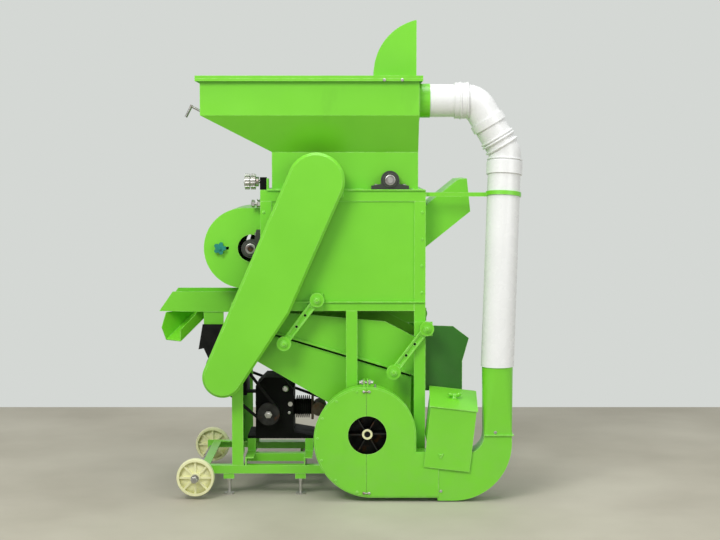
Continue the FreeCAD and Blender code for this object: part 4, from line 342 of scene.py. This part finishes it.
def turned(name, parts, slot_name, body=FRAME_BODY, sides=24):
    """Several turned forms in one piece: each is (profile, centre, axis)."""
    bm = bmesh.new()
    for profile, centre, axis in parts:
        lathe(bm, profile, centre, axis, sides)
    piece(name, bm, slot_name, body)


def hex_bolt(bm, centre, axis, size):
    """A chamfered hexagon head on a washer, seated on the surface at its centre, in shares of its size."""
    washer = size * WASHER_HEIGHT
    lathe(bm, [(size * WASHER_RADIUS, -SINK), (size * WASHER_RADIUS, washer)], centre, axis, 20)
    base = Vector(centre) + Vector(axis).normalized() * washer
    lathe(bm, [(size * radius, size * along) for radius, along in HEAD_PROFILE], base, axis, 6)


def bead(name, runs, radius):
    """Weld beads: rippled ridges along straight runs given as pairs of points."""
    bm = bmesh.new()
    for start, end in runs:
        start, end = Vector(start), Vector(end)
        run = end - start
        steps = max(3, int(run.length / WELD_RIPPLE))
        profile = []
        for i in range(steps + 1):
            swell = radius * (WELD_LOW + WELD_SPREAD * random.random()) * (1 if 0 < i < steps else WELD_END)
            profile.append((swell, run.length * i / steps))
        lathe(bm, profile, start, run, 8)
    piece(name, bm, "green_paint", smooth=True)


def block(bm, low, high):
    """Adds a box between two corners, its edges a little broken."""
    low, high = Vector(low), Vector(high)
    made = bmesh.ops.create_cube(bm, size=1)
    verts = made["verts"]
    for vert in verts:
        vert.co = Vector(((low[i] + high[i]) / 2 + vert.co[i] * (high[i] - low[i])) * MM for i in range(3))
    edges = list({edge for vert in verts for edge in vert.link_edges})
    bmesh.ops.bevel(bm, geom=edges, offset=BROKEN_EDGE * MM, segments=1, affect="EDGES")


def prism(bm, outline, y0, y1, turn=0.0, origin=(0, 0, 0)):
    """Adds a plate: an outline of (x, z) points from y0 to y1, turned about Z in degrees and moved."""
    c, n = math.cos(math.radians(turn)), math.sin(math.radians(turn))
    rings = []
    for y in (y0, y1):
        spots = [(x * c - y * n, x * n + y * c, z) for x, z in outline]
        rings.append([bm.verts.new((Vector(spot) + Vector(origin)) * MM) for spot in spots])
    count = len(outline)
    for i in range(count):
        j = (i + 1) % count
        bm.faces.new((rings[0][i], rings[0][j], rings[1][j], rings[1][i]))
    bm.faces.new(rings[0][::-1])
    bm.faces.new(rings[1])


# Bearings

BEARINGS = {"main_drum_spin": UP, "second_drum_spin": UP, "winnow_fan_spin": LEFT,
            "counter_shaft_spin": LEFT, "blower_spin": RIGHT}
BEARING_Y = 211
BEARING_HOLE = 47.5
BEARING_BOLT = 9
BEARING_FOOT = 19.3
INSERT_END = 19
INSERT_RING = [(17.5, -0.5), (17.5, 1.6), (15.5, 2.6), (13.4, 2.6), (13.0, 1.0)]


def dress_bearings():
    """Foot bolts and insert rings on each pillow block."""
    heads, rings = bmesh.new(), bmesh.new()
    for joint, out in BEARINGS.items():
        centre = AT[joint]
        out = Vector(out)
        along = Vector(RIGHT) if out.z else Vector(UP)
        for y in (-BEARING_Y, BEARING_Y):
            middle = Vector((centre.x, y, centre.z))
            foot = middle - out * BEARING_FOOT
            for side in (-1, 1):
                hex_bolt(heads, foot + along * side * BEARING_HOLE, out, BEARING_BOLT)
            for face in (-1, 1):
                lathe(rings, INSERT_RING, middle + Vector((0, face * INSERT_END, 0)), (0, face, 0), 28)
    piece("bearing_bolts", heads, "zinc_steel")
    piece("bearing_inserts", rings, "bare_steel")


# Rocker arms

UPPER_PIN_END, LOWER_PIN_END = 266.3, 265.3
PIN_NUT = 8.5
RAIL_OFFSET = 10.5
RAIL_RADIUS = 2.9
RAIL_LAYERS = (242, 246.5)
RAIL_INSET = 20
HOLE_FACE = 244
HOLE_SHARES = (0.36, 0.62)
HOLE_COLLAR = [(7.5, -0.5), (7.5, 1.6), (5.2, 1.6), (4.6, -0.3)]
HOLE_SHADE_DISC = [(4.4, -0.4), (4.4, 0.2)]


def dress_arms():
    """Nuts on the rocker pins, and the channel rails and collared holes of the arms; black discs in the holes are
    painted shade.
    """
    arms = {"left_arms_swing": "left_arms", "right_arms_swing": "right_arms"}
    drop = AT["sieve_swing"] - AT["left_arms_swing"]
    along = drop.normalized()
    across = Vector((-along.z, 0, along.x))
    moving, fixed = bmesh.new(), bmesh.new()
    for joint in arms:
        foot = AT[joint] + drop
        for side, out in ((-1, NEAR), (1, FAR)):
            hex_bolt(fixed, (AT[joint].x, side * UPPER_PIN_END, AT[joint].z), out, PIN_NUT)
            hex_bolt(moving, (foot.x, side * LOWER_PIN_END, foot.z), out, PIN_NUT)
    for joint, body in arms.items():
        rails, holes = bmesh.new(), bmesh.new()
        top = Vector((AT[joint].x, 0, AT[joint].z))
        for out in (-1, 1):
            for side in (-1, 1):
                start = top + along * RAIL_INSET + across * side * RAIL_OFFSET
                end = top + along * (drop.length - RAIL_INSET) + across * side * RAIL_OFFSET
                for layer in RAIL_LAYERS:
                    lathe(rails, [(RAIL_RADIUS, 0), (RAIL_RADIUS, (end - start).length)],
                          start + Vector((0, out * layer, 0)), end - start, 8)
            for share in HOLE_SHARES:
                spot = top + drop * share + Vector((0, out * HOLE_FACE, 0))
                lathe(rails, HOLE_COLLAR, spot, (0, out, 0), 16)
                # painted shade: a black disc fills each hole
                lathe(holes, HOLE_SHADE_DISC, spot, (0, out, 0), 12)
        piece(body + "_rails", rails, "green_paint", body)
        piece(body + "_holes", holes, "black_paint", body)
    piece("upper_pin_nuts", fixed, "green_paint")
    piece("lower_pin_nuts", moving, "green_paint", "sieve")


# Blower

COVER_DROP = 16
COVER_ARCS = ({"shift": 0, "radius": 165, "turns": (102, 128, 154, 178)},
              {"shift": 16, "radius": 181, "turns": (202, 228, 254)})
COVER_SCREW = 4.4
SPLIT_X = -5
TAB_SHIFT = 6
TAB_THICK = 4
TAB_DEPTH = (2, 44)
TAB_RISE = (-6, 22)
CLAMP_DEPTHS = (12, 34)
CLAMP_RISE = 12
CLAMP_BOLT = [(3.2, -22), (3.2, 24)]
CLAMP_NUT = [(7, 0), (7, 6), (5.6, 7)]
CLAMP_ENDS = (-15, 9)
CASING_STUD = [(6, 0), (6, 5), (3, 5.5), (3, 14)]
CASING_STUD_PLACE = Vector((26, 16, -7))
HUB_RING = [(17.5, -0.5), (17.5, 2), (16.5, 2.6), (11.5, 2.6), (10.4, 1.4), (10.4, -0.4)]
HUB_CORE = [(9.7, -6), (9.7, 0.6), (8.2, 1.4), (4, 1.4), (3.4, 0.8)]
LATCH_X = -3
LATCH_HEIGHTS = (146, -194)
LATCH_REACH = 9
LATCH_BAR_OUT = 3
LATCH_POST = [(4.5, 0), (4.5, 4), (3, 5)]
LATCH_BAR = [(1.8, -12), (1.8, 12)]


def dress_covers():
    """Screws around the blower's covers, on two arcs; the turns are in degrees."""
    centre = AT["blower_spin"]
    front = box_mm("blower_covers")[0].y
    screws = bmesh.new()
    for arc in COVER_ARCS:
        for turn in arc["turns"]:
            a = math.radians(turn)
            x = centre.x + arc["shift"] + arc["radius"] * math.cos(a)
            z = centre.z - COVER_DROP + arc["radius"] * math.sin(a)
            hex_bolt(screws, (x, front, z), NEAR, COVER_SCREW)
    piece("blower_screws", screws, "green_paint")


def dress_clamp():
    """Two tabs with bolts that hold the casing together above its split, and the stud beside them."""
    split = AT["blower_spin"].x + SPLIT_X
    front = box_mm("blower_covers")[0].y
    roof = box_mm("blower_casing")[1].z
    tabs, clamps = bmesh.new(), bmesh.new()
    for side in (-1, 1):
        middle = split + side * TAB_SHIFT
        block(tabs, (middle - TAB_THICK / 2, front + TAB_DEPTH[0], roof + TAB_RISE[0]),
              (middle + TAB_THICK / 2, front + TAB_DEPTH[1], roof + TAB_RISE[1]))
    for depth in CLAMP_DEPTHS:
        lathe(clamps, CLAMP_BOLT, (split, front + depth, roof + CLAMP_RISE), RIGHT, 12)
        for end in CLAMP_ENDS:
            lathe(clamps, CLAMP_NUT, (split + end, front + depth, roof + CLAMP_RISE), RIGHT, 6)
    lathe(clamps, CASING_STUD, Vector((AT["blower_spin"].x, front, roof)) + CASING_STUD_PLACE, UP, 6)
    piece("clamp_tabs", tabs, "green_paint")
    piece("clamp_bolts", clamps, "zinc_steel")


def dress_hub():
    """Ring and core on the end of the blower's shaft; the core is black as painted shade inside the ring."""
    centre = AT["blower_spin"]
    hub = (centre.x, box_mm("blower_impeller")[0].y, centre.z)
    turned("blower_hub_ring", [(HUB_RING, hub, NEAR)], "cream_wheel", "blower_rotor")
    # painted shade: the black core darkens the middle of the ring
    turned("blower_hub_core", [(HUB_CORE, hub, NEAR)], "black_paint", "blower_rotor")


def dress_latches():
    """A bar across two posts at each end of the covers' split."""
    centre = AT["blower_spin"]
    front = box_mm("blower_covers")[0].y
    latches = []
    for height in LATCH_HEIGHTS:
        middle = Vector((centre.x + LATCH_X, front, centre.z + height))
        for side in (-1, 1):
            latches.append((LATCH_POST, middle + Vector((side * LATCH_REACH, 0, 0)), NEAR))
        latches.append((LATCH_BAR, middle - Vector((0, LATCH_BAR_OUT, 0)), RIGHT))
    turned("cover_latches", latches, "zinc_steel", sides=12)


# Hopper and throat

PANEL_TOP = 1034
FLANGE_Y = 219
FLANGE_BOLT = 6
FLANGE_FROM_LEFT = (65, 225)
FLANGE_MIDDLE = (15, 145)
FLANGE_FROM_RIGHT = 35
HEM_DROP = 9.5
HEM_THICK = 3
HEM_HEIGHT, RIGHT_HEM_HEIGHT = 9, 8
RIM_SCREWS = (153, 212)
RIM_SCREW_DROP = 5
RIM_SCREW = [(5.5, -0.5), (5.5, 2), (4, 3.4)]
END_SCREW = 5
END_SCREW_INSET = 12
END_SCREW_HEIGHT = 1091
END_SCREW_PAIRS = (-110, 110)
END_SCREW_STEPS = ((-15, -5), (15, 5))
WELD_INSET = (14, 4)
WELD_HEIGHTS = (1037, 1158)
WELD_RADIUS = 1.6


def dress_flange():
    """Bolts through the throat's bottom flange."""
    low, high = box_mm("hopper_throat")
    places = []
    for inset, middle in zip(FLANGE_FROM_LEFT, FLANGE_MIDDLE):
        places += [low.x + inset, middle]
    places.append(high.x - FLANGE_FROM_RIGHT)
    flange = bmesh.new()
    for x in places:
        for y in (-FLANGE_Y, FLANGE_Y):
            hex_bolt(flange, (x, y, PANEL_TOP), UP, FLANGE_BOLT)
    piece("throat_bolts", flange, "zinc_steel")


def dress_rim():
    """The folded hem under the hopper's rim, and the return hood's two screws in it."""
    low, high = box_mm("hopper")
    top = high.z - HEM_DROP
    hem = bmesh.new()
    inner_low, inner_high = low.y + HEM_THICK, high.y - HEM_THICK
    for y0, y1 in ((low.y, inner_low), (inner_high, high.y)):
        block(hem, (low.x, y0, top - HEM_HEIGHT), (high.x, y1, top))
    block(hem, (low.x, inner_low, top - HEM_HEIGHT), (low.x + HEM_THICK, inner_high, top))
    block(hem, (high.x - HEM_THICK, inner_low, top - RIGHT_HEM_HEIGHT), (high.x, inner_high, top))
    piece("rim_hem", hem, "green_paint")
    screws = [(RIM_SCREW, (x, low.y, top - RIM_SCREW_DROP), NEAR) for x in RIM_SCREWS]
    turned("rim_screws", screws, "zinc_steel", sides=14)


def dress_throat():
    """Screws on the throat's left end, and welds up its near corners."""
    low, high = box_mm("hopper_throat")
    screws = bmesh.new()
    for y in END_SCREW_PAIRS:
        for across, up in END_SCREW_STEPS:
            spot = (low.x + END_SCREW_INSET, y + across, END_SCREW_HEIGHT + up)
            hex_bolt(screws, spot, LEFT, END_SCREW)
    piece("hopper_screws", screws, "green_paint")
    welds = []
    for x in (low.x + WELD_INSET[0], high.x - WELD_INSET[0]):
        welds.append([(x, low.y + WELD_INSET[1], z) for z in WELD_HEIGHTS])
    bead("throat_welds", welds, WELD_RADIUS)


# Engine

CRANK_BOLT = [(13, -1), (13, 2), (9, 2.2), (9, 10), (7, 11)]
FUEL_CAP = [(22, -2), (23, 4), (22, 12), (17, 15)]
CAP_SHIFT, CAP_Y = -14, 30
CRANKCASE_FACE = -112
FILLER_PLUG = [(8, -0.5), (8, 1.5), (5.6, 1.5), (5.2, 0.4)]
DRAIN_PLUG = [(5, -0.5), (5, 2), (3.5, 3)]
COVER_PLUG = [(11, -1), (11, 5), (9, 7), (9, 9), (7, 10)]
ENGINE_PLUGS = ((FILLER_PLUG, -168, 292), (DRAIN_PLUG, -172, 262), (COVER_PLUG, -184, 346))
VENT = [(4.2, -1), (4.2, 1.4)]
VENT_COUNT = 12
VENT_CIRCLE = 32
VENT_RISE = 4


def dress_engine():
    """Crankshaft bolt, fuel cap, plugs on the crankcase and vents in the starter cover."""
    crank = AT["engine_pulley_spin"]
    turned("crank_bolt", [(CRANK_BOLT, (crank.x, box_mm("engine_pulley")[0].y, crank.z), NEAR)],
           "zinc_steel", "engine_rotor", 6)
    low, high = box_mm("fuel_tank")
    turned("fuel_cap", [(FUEL_CAP, ((low.x + high.x) / 2 + CAP_SHIFT, CAP_Y, high.z), UP)],
           "black_paint", sides=18)
    plugs = [(plug, (x, CRANKCASE_FACE, z), NEAR) for plug, x, z in ENGINE_PLUGS]
    turned("engine_plugs", plugs, "zinc_steel")
    starter = box_mm("engine_block")[1].y
    vents = []
    for i in range(VENT_COUNT):
        a = 2 * math.pi * i / VENT_COUNT
        x = crank.x + VENT_CIRCLE * math.cos(a)
        z = crank.z + VENT_RISE + VENT_CIRCLE * math.sin(a)
        vents.append((VENT, (x, starter, z), FAR))
    turned("starter_vents", vents, "black_paint", sides=10)


# Panels and ducts

PANEL_FACE = 230
PANEL_SCREW = 5
PANEL_SCREW_INSET = 8
PANEL_SCREW_HEIGHTS = (690, 780, 870, 960)
RISER_SCREW = 5.5
RISER_SCREW_X, RISER_SCREW_Y, RISER_SCREW_RISE = 522, -330.2, 11
ELBOW_SCREW = 5
ELBOW_SCREW_PLACE = (342, -330, 36)
LIP_HEIGHTS = (658, PANEL_TOP)
LIP_THICK = 4
LIP_FACES = (229.5, 236.5)
LIP_INSET, LIP_PAST = 18, 2
SKIRT_LEFT, SKIRT_INSET = -96, 4
SKIRT_LOW, SKIRT_HIGH, SKIRT_FOLD_TOP = 540, 640, 543
SKIRT_FOLD_Y, SKIRT_INSIDE, SKIRT_OUTSIDE = 196, 200, 202


def dress_panel_screws():
    """Screws up both ends of the side panels."""
    screws = bmesh.new()
    low, high = box_mm("body_panels")
    for x in (low.x + PANEL_SCREW_INSET, high.x - PANEL_SCREW_INSET):
        for z in PANEL_SCREW_HEIGHTS:
            hex_bolt(screws, (x, -PANEL_FACE, z), NEAR, PANEL_SCREW)
            hex_bolt(screws, (x, PANEL_FACE, z), FAR, PANEL_SCREW)
    piece("panel_screws", screws, "green_paint")


def dress_duct_screws():
    """A screw in the riser duct's foot and one in the blower's outlet seam."""
    seam = bmesh.new()
    height = box_mm("riser_duct")[0].z + RISER_SCREW_RISE
    hex_bolt(seam, (RISER_SCREW_X, RISER_SCREW_Y, height), NEAR, RISER_SCREW)
    hex_bolt(seam, ELBOW_SCREW_PLACE, NEAR, ELBOW_SCREW)
    piece("riser_screws", seam, "zinc_steel")


def dress_panel_edges():
    """Lips along the side panels' top and bottom, and the folded skirt below the far panel."""
    low, high = box_mm("body_panels")
    lips = bmesh.new()
    for side in (-1, 1):
        y0, y1 = sorted(side * face for face in LIP_FACES)
        for z in LIP_HEIGHTS:
            bottom, top = z - LIP_THICK / 2, z + LIP_THICK / 2
            block(lips, (low.x + LIP_INSET, y0, bottom), (high.x + LIP_PAST, y1, top))
    piece("panel_lips", lips, "green_paint")
    right = high.x - SKIRT_INSET
    skirt = bmesh.new()
    block(skirt, (SKIRT_LEFT, SKIRT_INSIDE, SKIRT_LOW), (right, SKIRT_OUTSIDE, SKIRT_HIGH))
    block(skirt, (SKIRT_LEFT, SKIRT_FOLD_Y, SKIRT_LOW), (right, SKIRT_INSIDE, SKIRT_FOLD_TOP))
    piece("far_skirt", skirt, "green_paint")


# Feeder

WING_TILT = Vector((0.10, -0.28, 1)).normalized()
WING_SHARE = 0.56
WING_SHIFT = 4
WING_RISE = 5
WING_LEAN = (-0.3, 0.42)
WING_HUB = [(12, -3), (12, 1), (8, 1.5), (8, 9), (5, 14)]
WING = [(4, 0), (6.5, 10), (7, 17), (3.6, 24)]
CLIP_X, CLIP_Z = 341, 156
CLIP_SPREAD, CLIP_LEAN = 4, 0.5
CLIP_LEG = [(2.4, -9), (3.0, 0), (2.4, 9)]
CLIP_PIN = [(4, -1), (4, 2.4), (2.6, 3.4)]
CLIP_PIN_RISE = 3


def dress_feeder():
    """The wing nut on the feeder's lid and the small clip on its face."""
    low, high = box_mm("feeder_lid")
    top = (low + high) / 2
    top.x += WING_SHIFT
    top.z = low.z + (high.z - low.z) * WING_SHARE
    wing = bmesh.new()
    lathe(wing, WING_HUB, top, WING_TILT, 16)
    for side in (-1, 1):
        lathe(wing, WING, top + WING_TILT * WING_RISE, (side, *WING_LEAN), 12)
    piece("lid_wing_nut", wing, "green_paint", "feeder_lid", smooth=True)
    clip = bmesh.new()
    face = box_mm("feeder_box")[0].y
    for side in (-1, 1):
        spot = (CLIP_X + side * CLIP_SPREAD, face, CLIP_Z)
        lathe(clip, CLIP_LEG, spot, (side * CLIP_LEAN, 0, 1), 10)
    lathe(clip, CLIP_PIN, (CLIP_X, face, CLIP_Z + CLIP_PIN_RISE), NEAR, 12)
    piece("feeder_clip", clip, "green_paint")


# Posts and adjuster

STUD_X, STUD_Z = -261, 988
STUD = [(5.5, -1), (5.5, 31), (4.5, 32)]
STUD_NUT = [(13, 0), (13, 9), (11.5, 10.5)]
STUD_NUT_STARTS = (0.2, 20)
STUD_WASHER = [(15.5, 10), (15.5, 12)]
BRACKET_GAP = 0.3
BRACKET_DROP = 4


def dress_posts():
    """Studs with two nuts that stand out of the left posts above the fan case."""
    studs = bmesh.new()
    for y in (-BEARING_Y, BEARING_Y):
        foot = Vector((STUD_X, y, STUD_Z))
        lathe(studs, STUD, foot, LEFT, 14)
        for start in STUD_NUT_STARTS:
            lathe(studs, STUD_NUT, foot - Vector((start, 0, 0)), LEFT, 6)
        lathe(studs, STUD_WASHER, foot, LEFT, 20)
    piece("post_studs", studs, "zinc_steel")


def dress_adjuster():
    """The bracket between the adjuster's block and the throat."""
    throat = box_mm("hopper_throat")[0].x
    low, high = box_mm("adjuster_block")
    left, right = high.x + BRACKET_GAP, throat - BRACKET_GAP
    bracket = bmesh.new()
    block(bracket, (left, low.y, low.z), (right, high.y, high.z - BRACKET_DROP))
    piece("adjuster_bracket", bracket, "green_paint")


# Wheels

WHEEL_WEB = [(17.5, 2), (30, 1), (54.5, 2), (54.5, -2), (30, -1), (17.5, -2)]
AXLE_END = 342
AXLE_NUT = [(12, -11), (12, -4), (9.5, -1.4)]


def dress_wheels():
    """Dished webs behind the spokes, and nuts at the ends of the axle."""
    axle = AT["near_wheel_spin"]
    for name in ("near", "far"):
        web = bmesh.new()
        lathe(web, WHEEL_WEB, AT[f"{name}_wheel_spin"], NEAR, 40)
        piece(f"wheel_web_{name}", web, "cream_wheel", f"{name}_wheel", smooth=True)
    for name, y, out in (("near", -AXLE_END, NEAR), ("far", AXLE_END, FAR)):
        turned(f"axle_nut_{name}", [(AXLE_NUT, (axle.x, y, axle.z), out)], "zinc_steel", sides=6)


# Lifting pipe

FIRST_BEND = Vector((461, -180, 1333))
SECOND_BEND = Vector((561.5, -180, 1164))
PIPE_FALL = Vector((-0.0422, -0.1452, -0.9885)).normalized()
STUB_RIB = {"crown": 1.2, "inside": 55, "foot": 3.4, "shoulder": 3.2}
SLANT_RIB = {"crown": 1.2, "inside": 54, "foot": 4, "shoulder": 3.2}
FALL_RIB = {"crown": 0.8, "inside": 54, "foot": 2.4, "shoulder": 1.8}
STUB_RIBS, STUB_CREST = (410, 434), 63.2
SLANT_RIBS = ((54, 60.4), (44, 61.6), (22, 60.8))
FALL_RIBS, FALL_CREST = (30, 38), 59.6
RIB_SIDES = 56


def rib(crest, crown, inside, foot, shoulder):
    """A rounded rib's profile: crest and inside are radii, foot and shoulder are half widths."""
    edge = crest - crown
    return [(inside, -foot), (edge, -shoulder), (crest, 0), (edge, shoulder), (inside, foot)]


def dress_pipe():
    """Rolled ribs on the pipe's sockets and the seams of its bends."""
    slant = (SECOND_BEND - FIRST_BEND).normalized()
    ribs = bmesh.new()
    for x in STUB_RIBS:
        lathe(ribs, rib(STUB_CREST, **STUB_RIB), (x, FIRST_BEND.y, FIRST_BEND.z), RIGHT, RIB_SIDES)
    for back, crest in SLANT_RIBS:
        lathe(ribs, rib(crest, **SLANT_RIB), SECOND_BEND - slant * back, slant, RIB_SIDES)
    for on in FALL_RIBS:
        lathe(ribs, rib(FALL_CREST, **FALL_RIB), SECOND_BEND + PIPE_FALL * on, PIPE_FALL, RIB_SIDES)
    piece("pipe_ribs", ribs, "white_pvc", smooth=True)


# Sieve and spout

LEDGE_ENDS = ((-272, 561.2), (272, 397.6))
LEDGE_FACES = (185.2, 191.5)
LEDGE_LOW, LEDGE_HIGH = 1, 8
SPOUT_PLACE = {"turn": 50, "origin": (-500, -16, 608.7)}
SPOUT_HALF, SPOUT_WALL = 37, 2.5
SPOUT_MOUTH = (-112, -97.4)
SPOUT_BACK = [(30, 0), (24, -10), SPOUT_MOUTH]
SPOUT_FAR_EDGE = [(-133, -52), (-112, 0)]
SPOUT_NEAR_EDGE = [(-112, -57), (-36, -6), (-30, 0)]
SPOUT_FLOOR = [(26, -9), SPOUT_MOUTH, (-113.4, -95), (24.6, -6.6)]


def dress_sieve():
    """The folded ledge along the sieve's lower edge."""
    ledge = bmesh.new()
    outline = [(x, z + LEDGE_LOW) for x, z in LEDGE_ENDS]
    outline += [(x, z + LEDGE_HIGH) for x, z in reversed(LEDGE_ENDS)]
    for side in (-1, 1):
        y0, y1 = sorted(side * face for face in LEDGE_FACES)
        prism(ledge, outline, y0, y1)
    piece("sieve_ledge", ledge, "green_paint", "sieve")


def dress_spout():
    """The kernel spout as an open trough: a higher far wall, a lower near wall and a sloping floor."""
    inner = SPOUT_HALF - SPOUT_WALL
    trough = bmesh.new()
    prism(trough, SPOUT_BACK + SPOUT_FAR_EDGE, inner, SPOUT_HALF, **SPOUT_PLACE)
    prism(trough, SPOUT_BACK + SPOUT_NEAR_EDGE, -SPOUT_HALF, -inner, **SPOUT_PLACE)
    prism(trough, SPOUT_FLOOR, -inner, inner, **SPOUT_PLACE)
    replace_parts(piece("spout_trough", trough, "green_paint", "sieve"), "kernel_spout")


for dress in (dress_bearings, dress_arms, dress_covers, dress_clamp, dress_hub, dress_latches,
              dress_flange, dress_rim, dress_throat, dress_engine, dress_panel_screws, dress_duct_screws,
              dress_feeder, dress_posts, dress_adjuster, dress_panel_edges, dress_wheels, dress_pipe,
              dress_sieve, dress_spout):
    dress()


# Floor, background, light and camera

FLOOR_HALF, FLOOR_END = 9, 1.55
SKY_LIGHT, SKY_LIGHT_LEVEL = (0.86, 0.89, 0.92), 0.48
SKY_SEEN, SKY_SEEN_LEVEL = (0.66, 0.685, 0.66), 1.0
CAMERA_PLACE = (0.073, -5.130, 1.131)
CAMERA_TILT = 4.26
CAMERA_LENS, CAMERA_SENSOR = 73.2, 36


def concrete(name, colour, shade, scale):
    """Dull concrete, mottled at a large scale."""
    mat, tree, shader = new_material(name)
    base = ramp(tree, noise(tree, scale, 6), [(0.3, shade), (0.7, colour)])
    tree.links.new(base, shader.inputs["Base Color"])
    shader.inputs["Roughness"].default_value = 0.7
    bump(tree, shader, noise(tree, 60, 4), 0.1, 0.001)
    return mat


def plane(name, corners, material):
    """A flat stage piece from four corners in metres."""
    mesh = bpy.data.meshes.new(name)
    mesh.from_pydata([Vector(c) for c in corners], [], [(0, 1, 2, 3)])
    thing = bpy.data.objects.new(name, mesh)
    bpy.context.scene.collection.objects.link(thing)
    mesh.materials.append(material)


plane("floor", [(-FLOOR_HALF, -FLOOR_HALF, 0), (FLOOR_HALF, -FLOOR_HALF, 0),
                (FLOOR_HALF, FLOOR_END, 0), (-FLOOR_HALF, FLOOR_END, 0)],
      concrete("floor_concrete", (0.50, 0.47, 0.38), (0.38, 0.35, 0.275), 1.6))


def area_light(name, place, aim, size, power):
    """A rectangular lamp at a place in metres, turned to its aim."""
    data = bpy.data.lights.new(name, "AREA")
    data.shape = "RECTANGLE"
    data.size, data.size_y = size
    data.energy = power
    light = bpy.data.objects.new(name, data)
    light.location = place
    light.rotation_mode = "QUATERNION"
    light.rotation_quaternion = (Vector(aim) - Vector(place)).to_track_quat("-Z", "Y")
    bpy.context.scene.collection.objects.link(light)


area_light("key", (-1.7, -3.5, 3.9), (0, 0, 1.0), (2.0, 1.8), 134)
area_light("fill", (3.2, -3.2, 2.6), (0, 0.6, 1.2), (2.4, 2.0), 44)
area_light("top", (0.3, -0.5, 4.6), (0.1, 0, 0.8), (2.6, 2.0), 76)

world = bpy.data.worlds.new("studio")
bpy.context.scene.world = world
world.use_nodes = True
sky = world.node_tree
sky.nodes.clear()


def background(colour, strength):
    """The sky at one colour and strength."""
    node = sky.nodes.new("ShaderNodeBackground")
    node.inputs[0].default_value = (*colour, 1)
    node.inputs[1].default_value = strength
    return node.outputs[0]


def larger(first, second):
    """Either of two masks."""
    node = sky.nodes.new("ShaderNodeMath")
    node.operation = "MAXIMUM"
    sky.links.new(first, node.inputs[0])
    sky.links.new(second, node.inputs[1])
    return node.outputs[0]


rays = sky.nodes.new("ShaderNodeLightPath").outputs
seen = larger(larger(rays["Is Camera Ray"], rays["Is Glossy Ray"]), rays["Is Transmission Ray"])
chosen = sky.nodes.new("ShaderNodeMixShader")
sky.links.new(seen, chosen.inputs[0])
sky.links.new(background(SKY_LIGHT, SKY_LIGHT_LEVEL), chosen.inputs[1])
sky.links.new(background(SKY_SEEN, SKY_SEEN_LEVEL), chosen.inputs[2])
sky.links.new(chosen.outputs[0], sky.nodes.new("ShaderNodeOutputWorld").inputs[0])

camera_data = bpy.data.cameras.new("camera")
camera = bpy.data.objects.new("camera", camera_data)
bpy.context.scene.collection.objects.link(camera)
bpy.context.scene.camera = camera
camera_data.sensor_width = CAMERA_SENSOR
camera_data.lens = CAMERA_LENS
camera_data.clip_start, camera_data.clip_end = 0.1, 60
camera.location = CAMERA_PLACE
camera.rotation_euler = (math.radians(90 - CAMERA_TILT), 0, 0)

bpy.context.scene.view_settings.view_transform = "Standard"
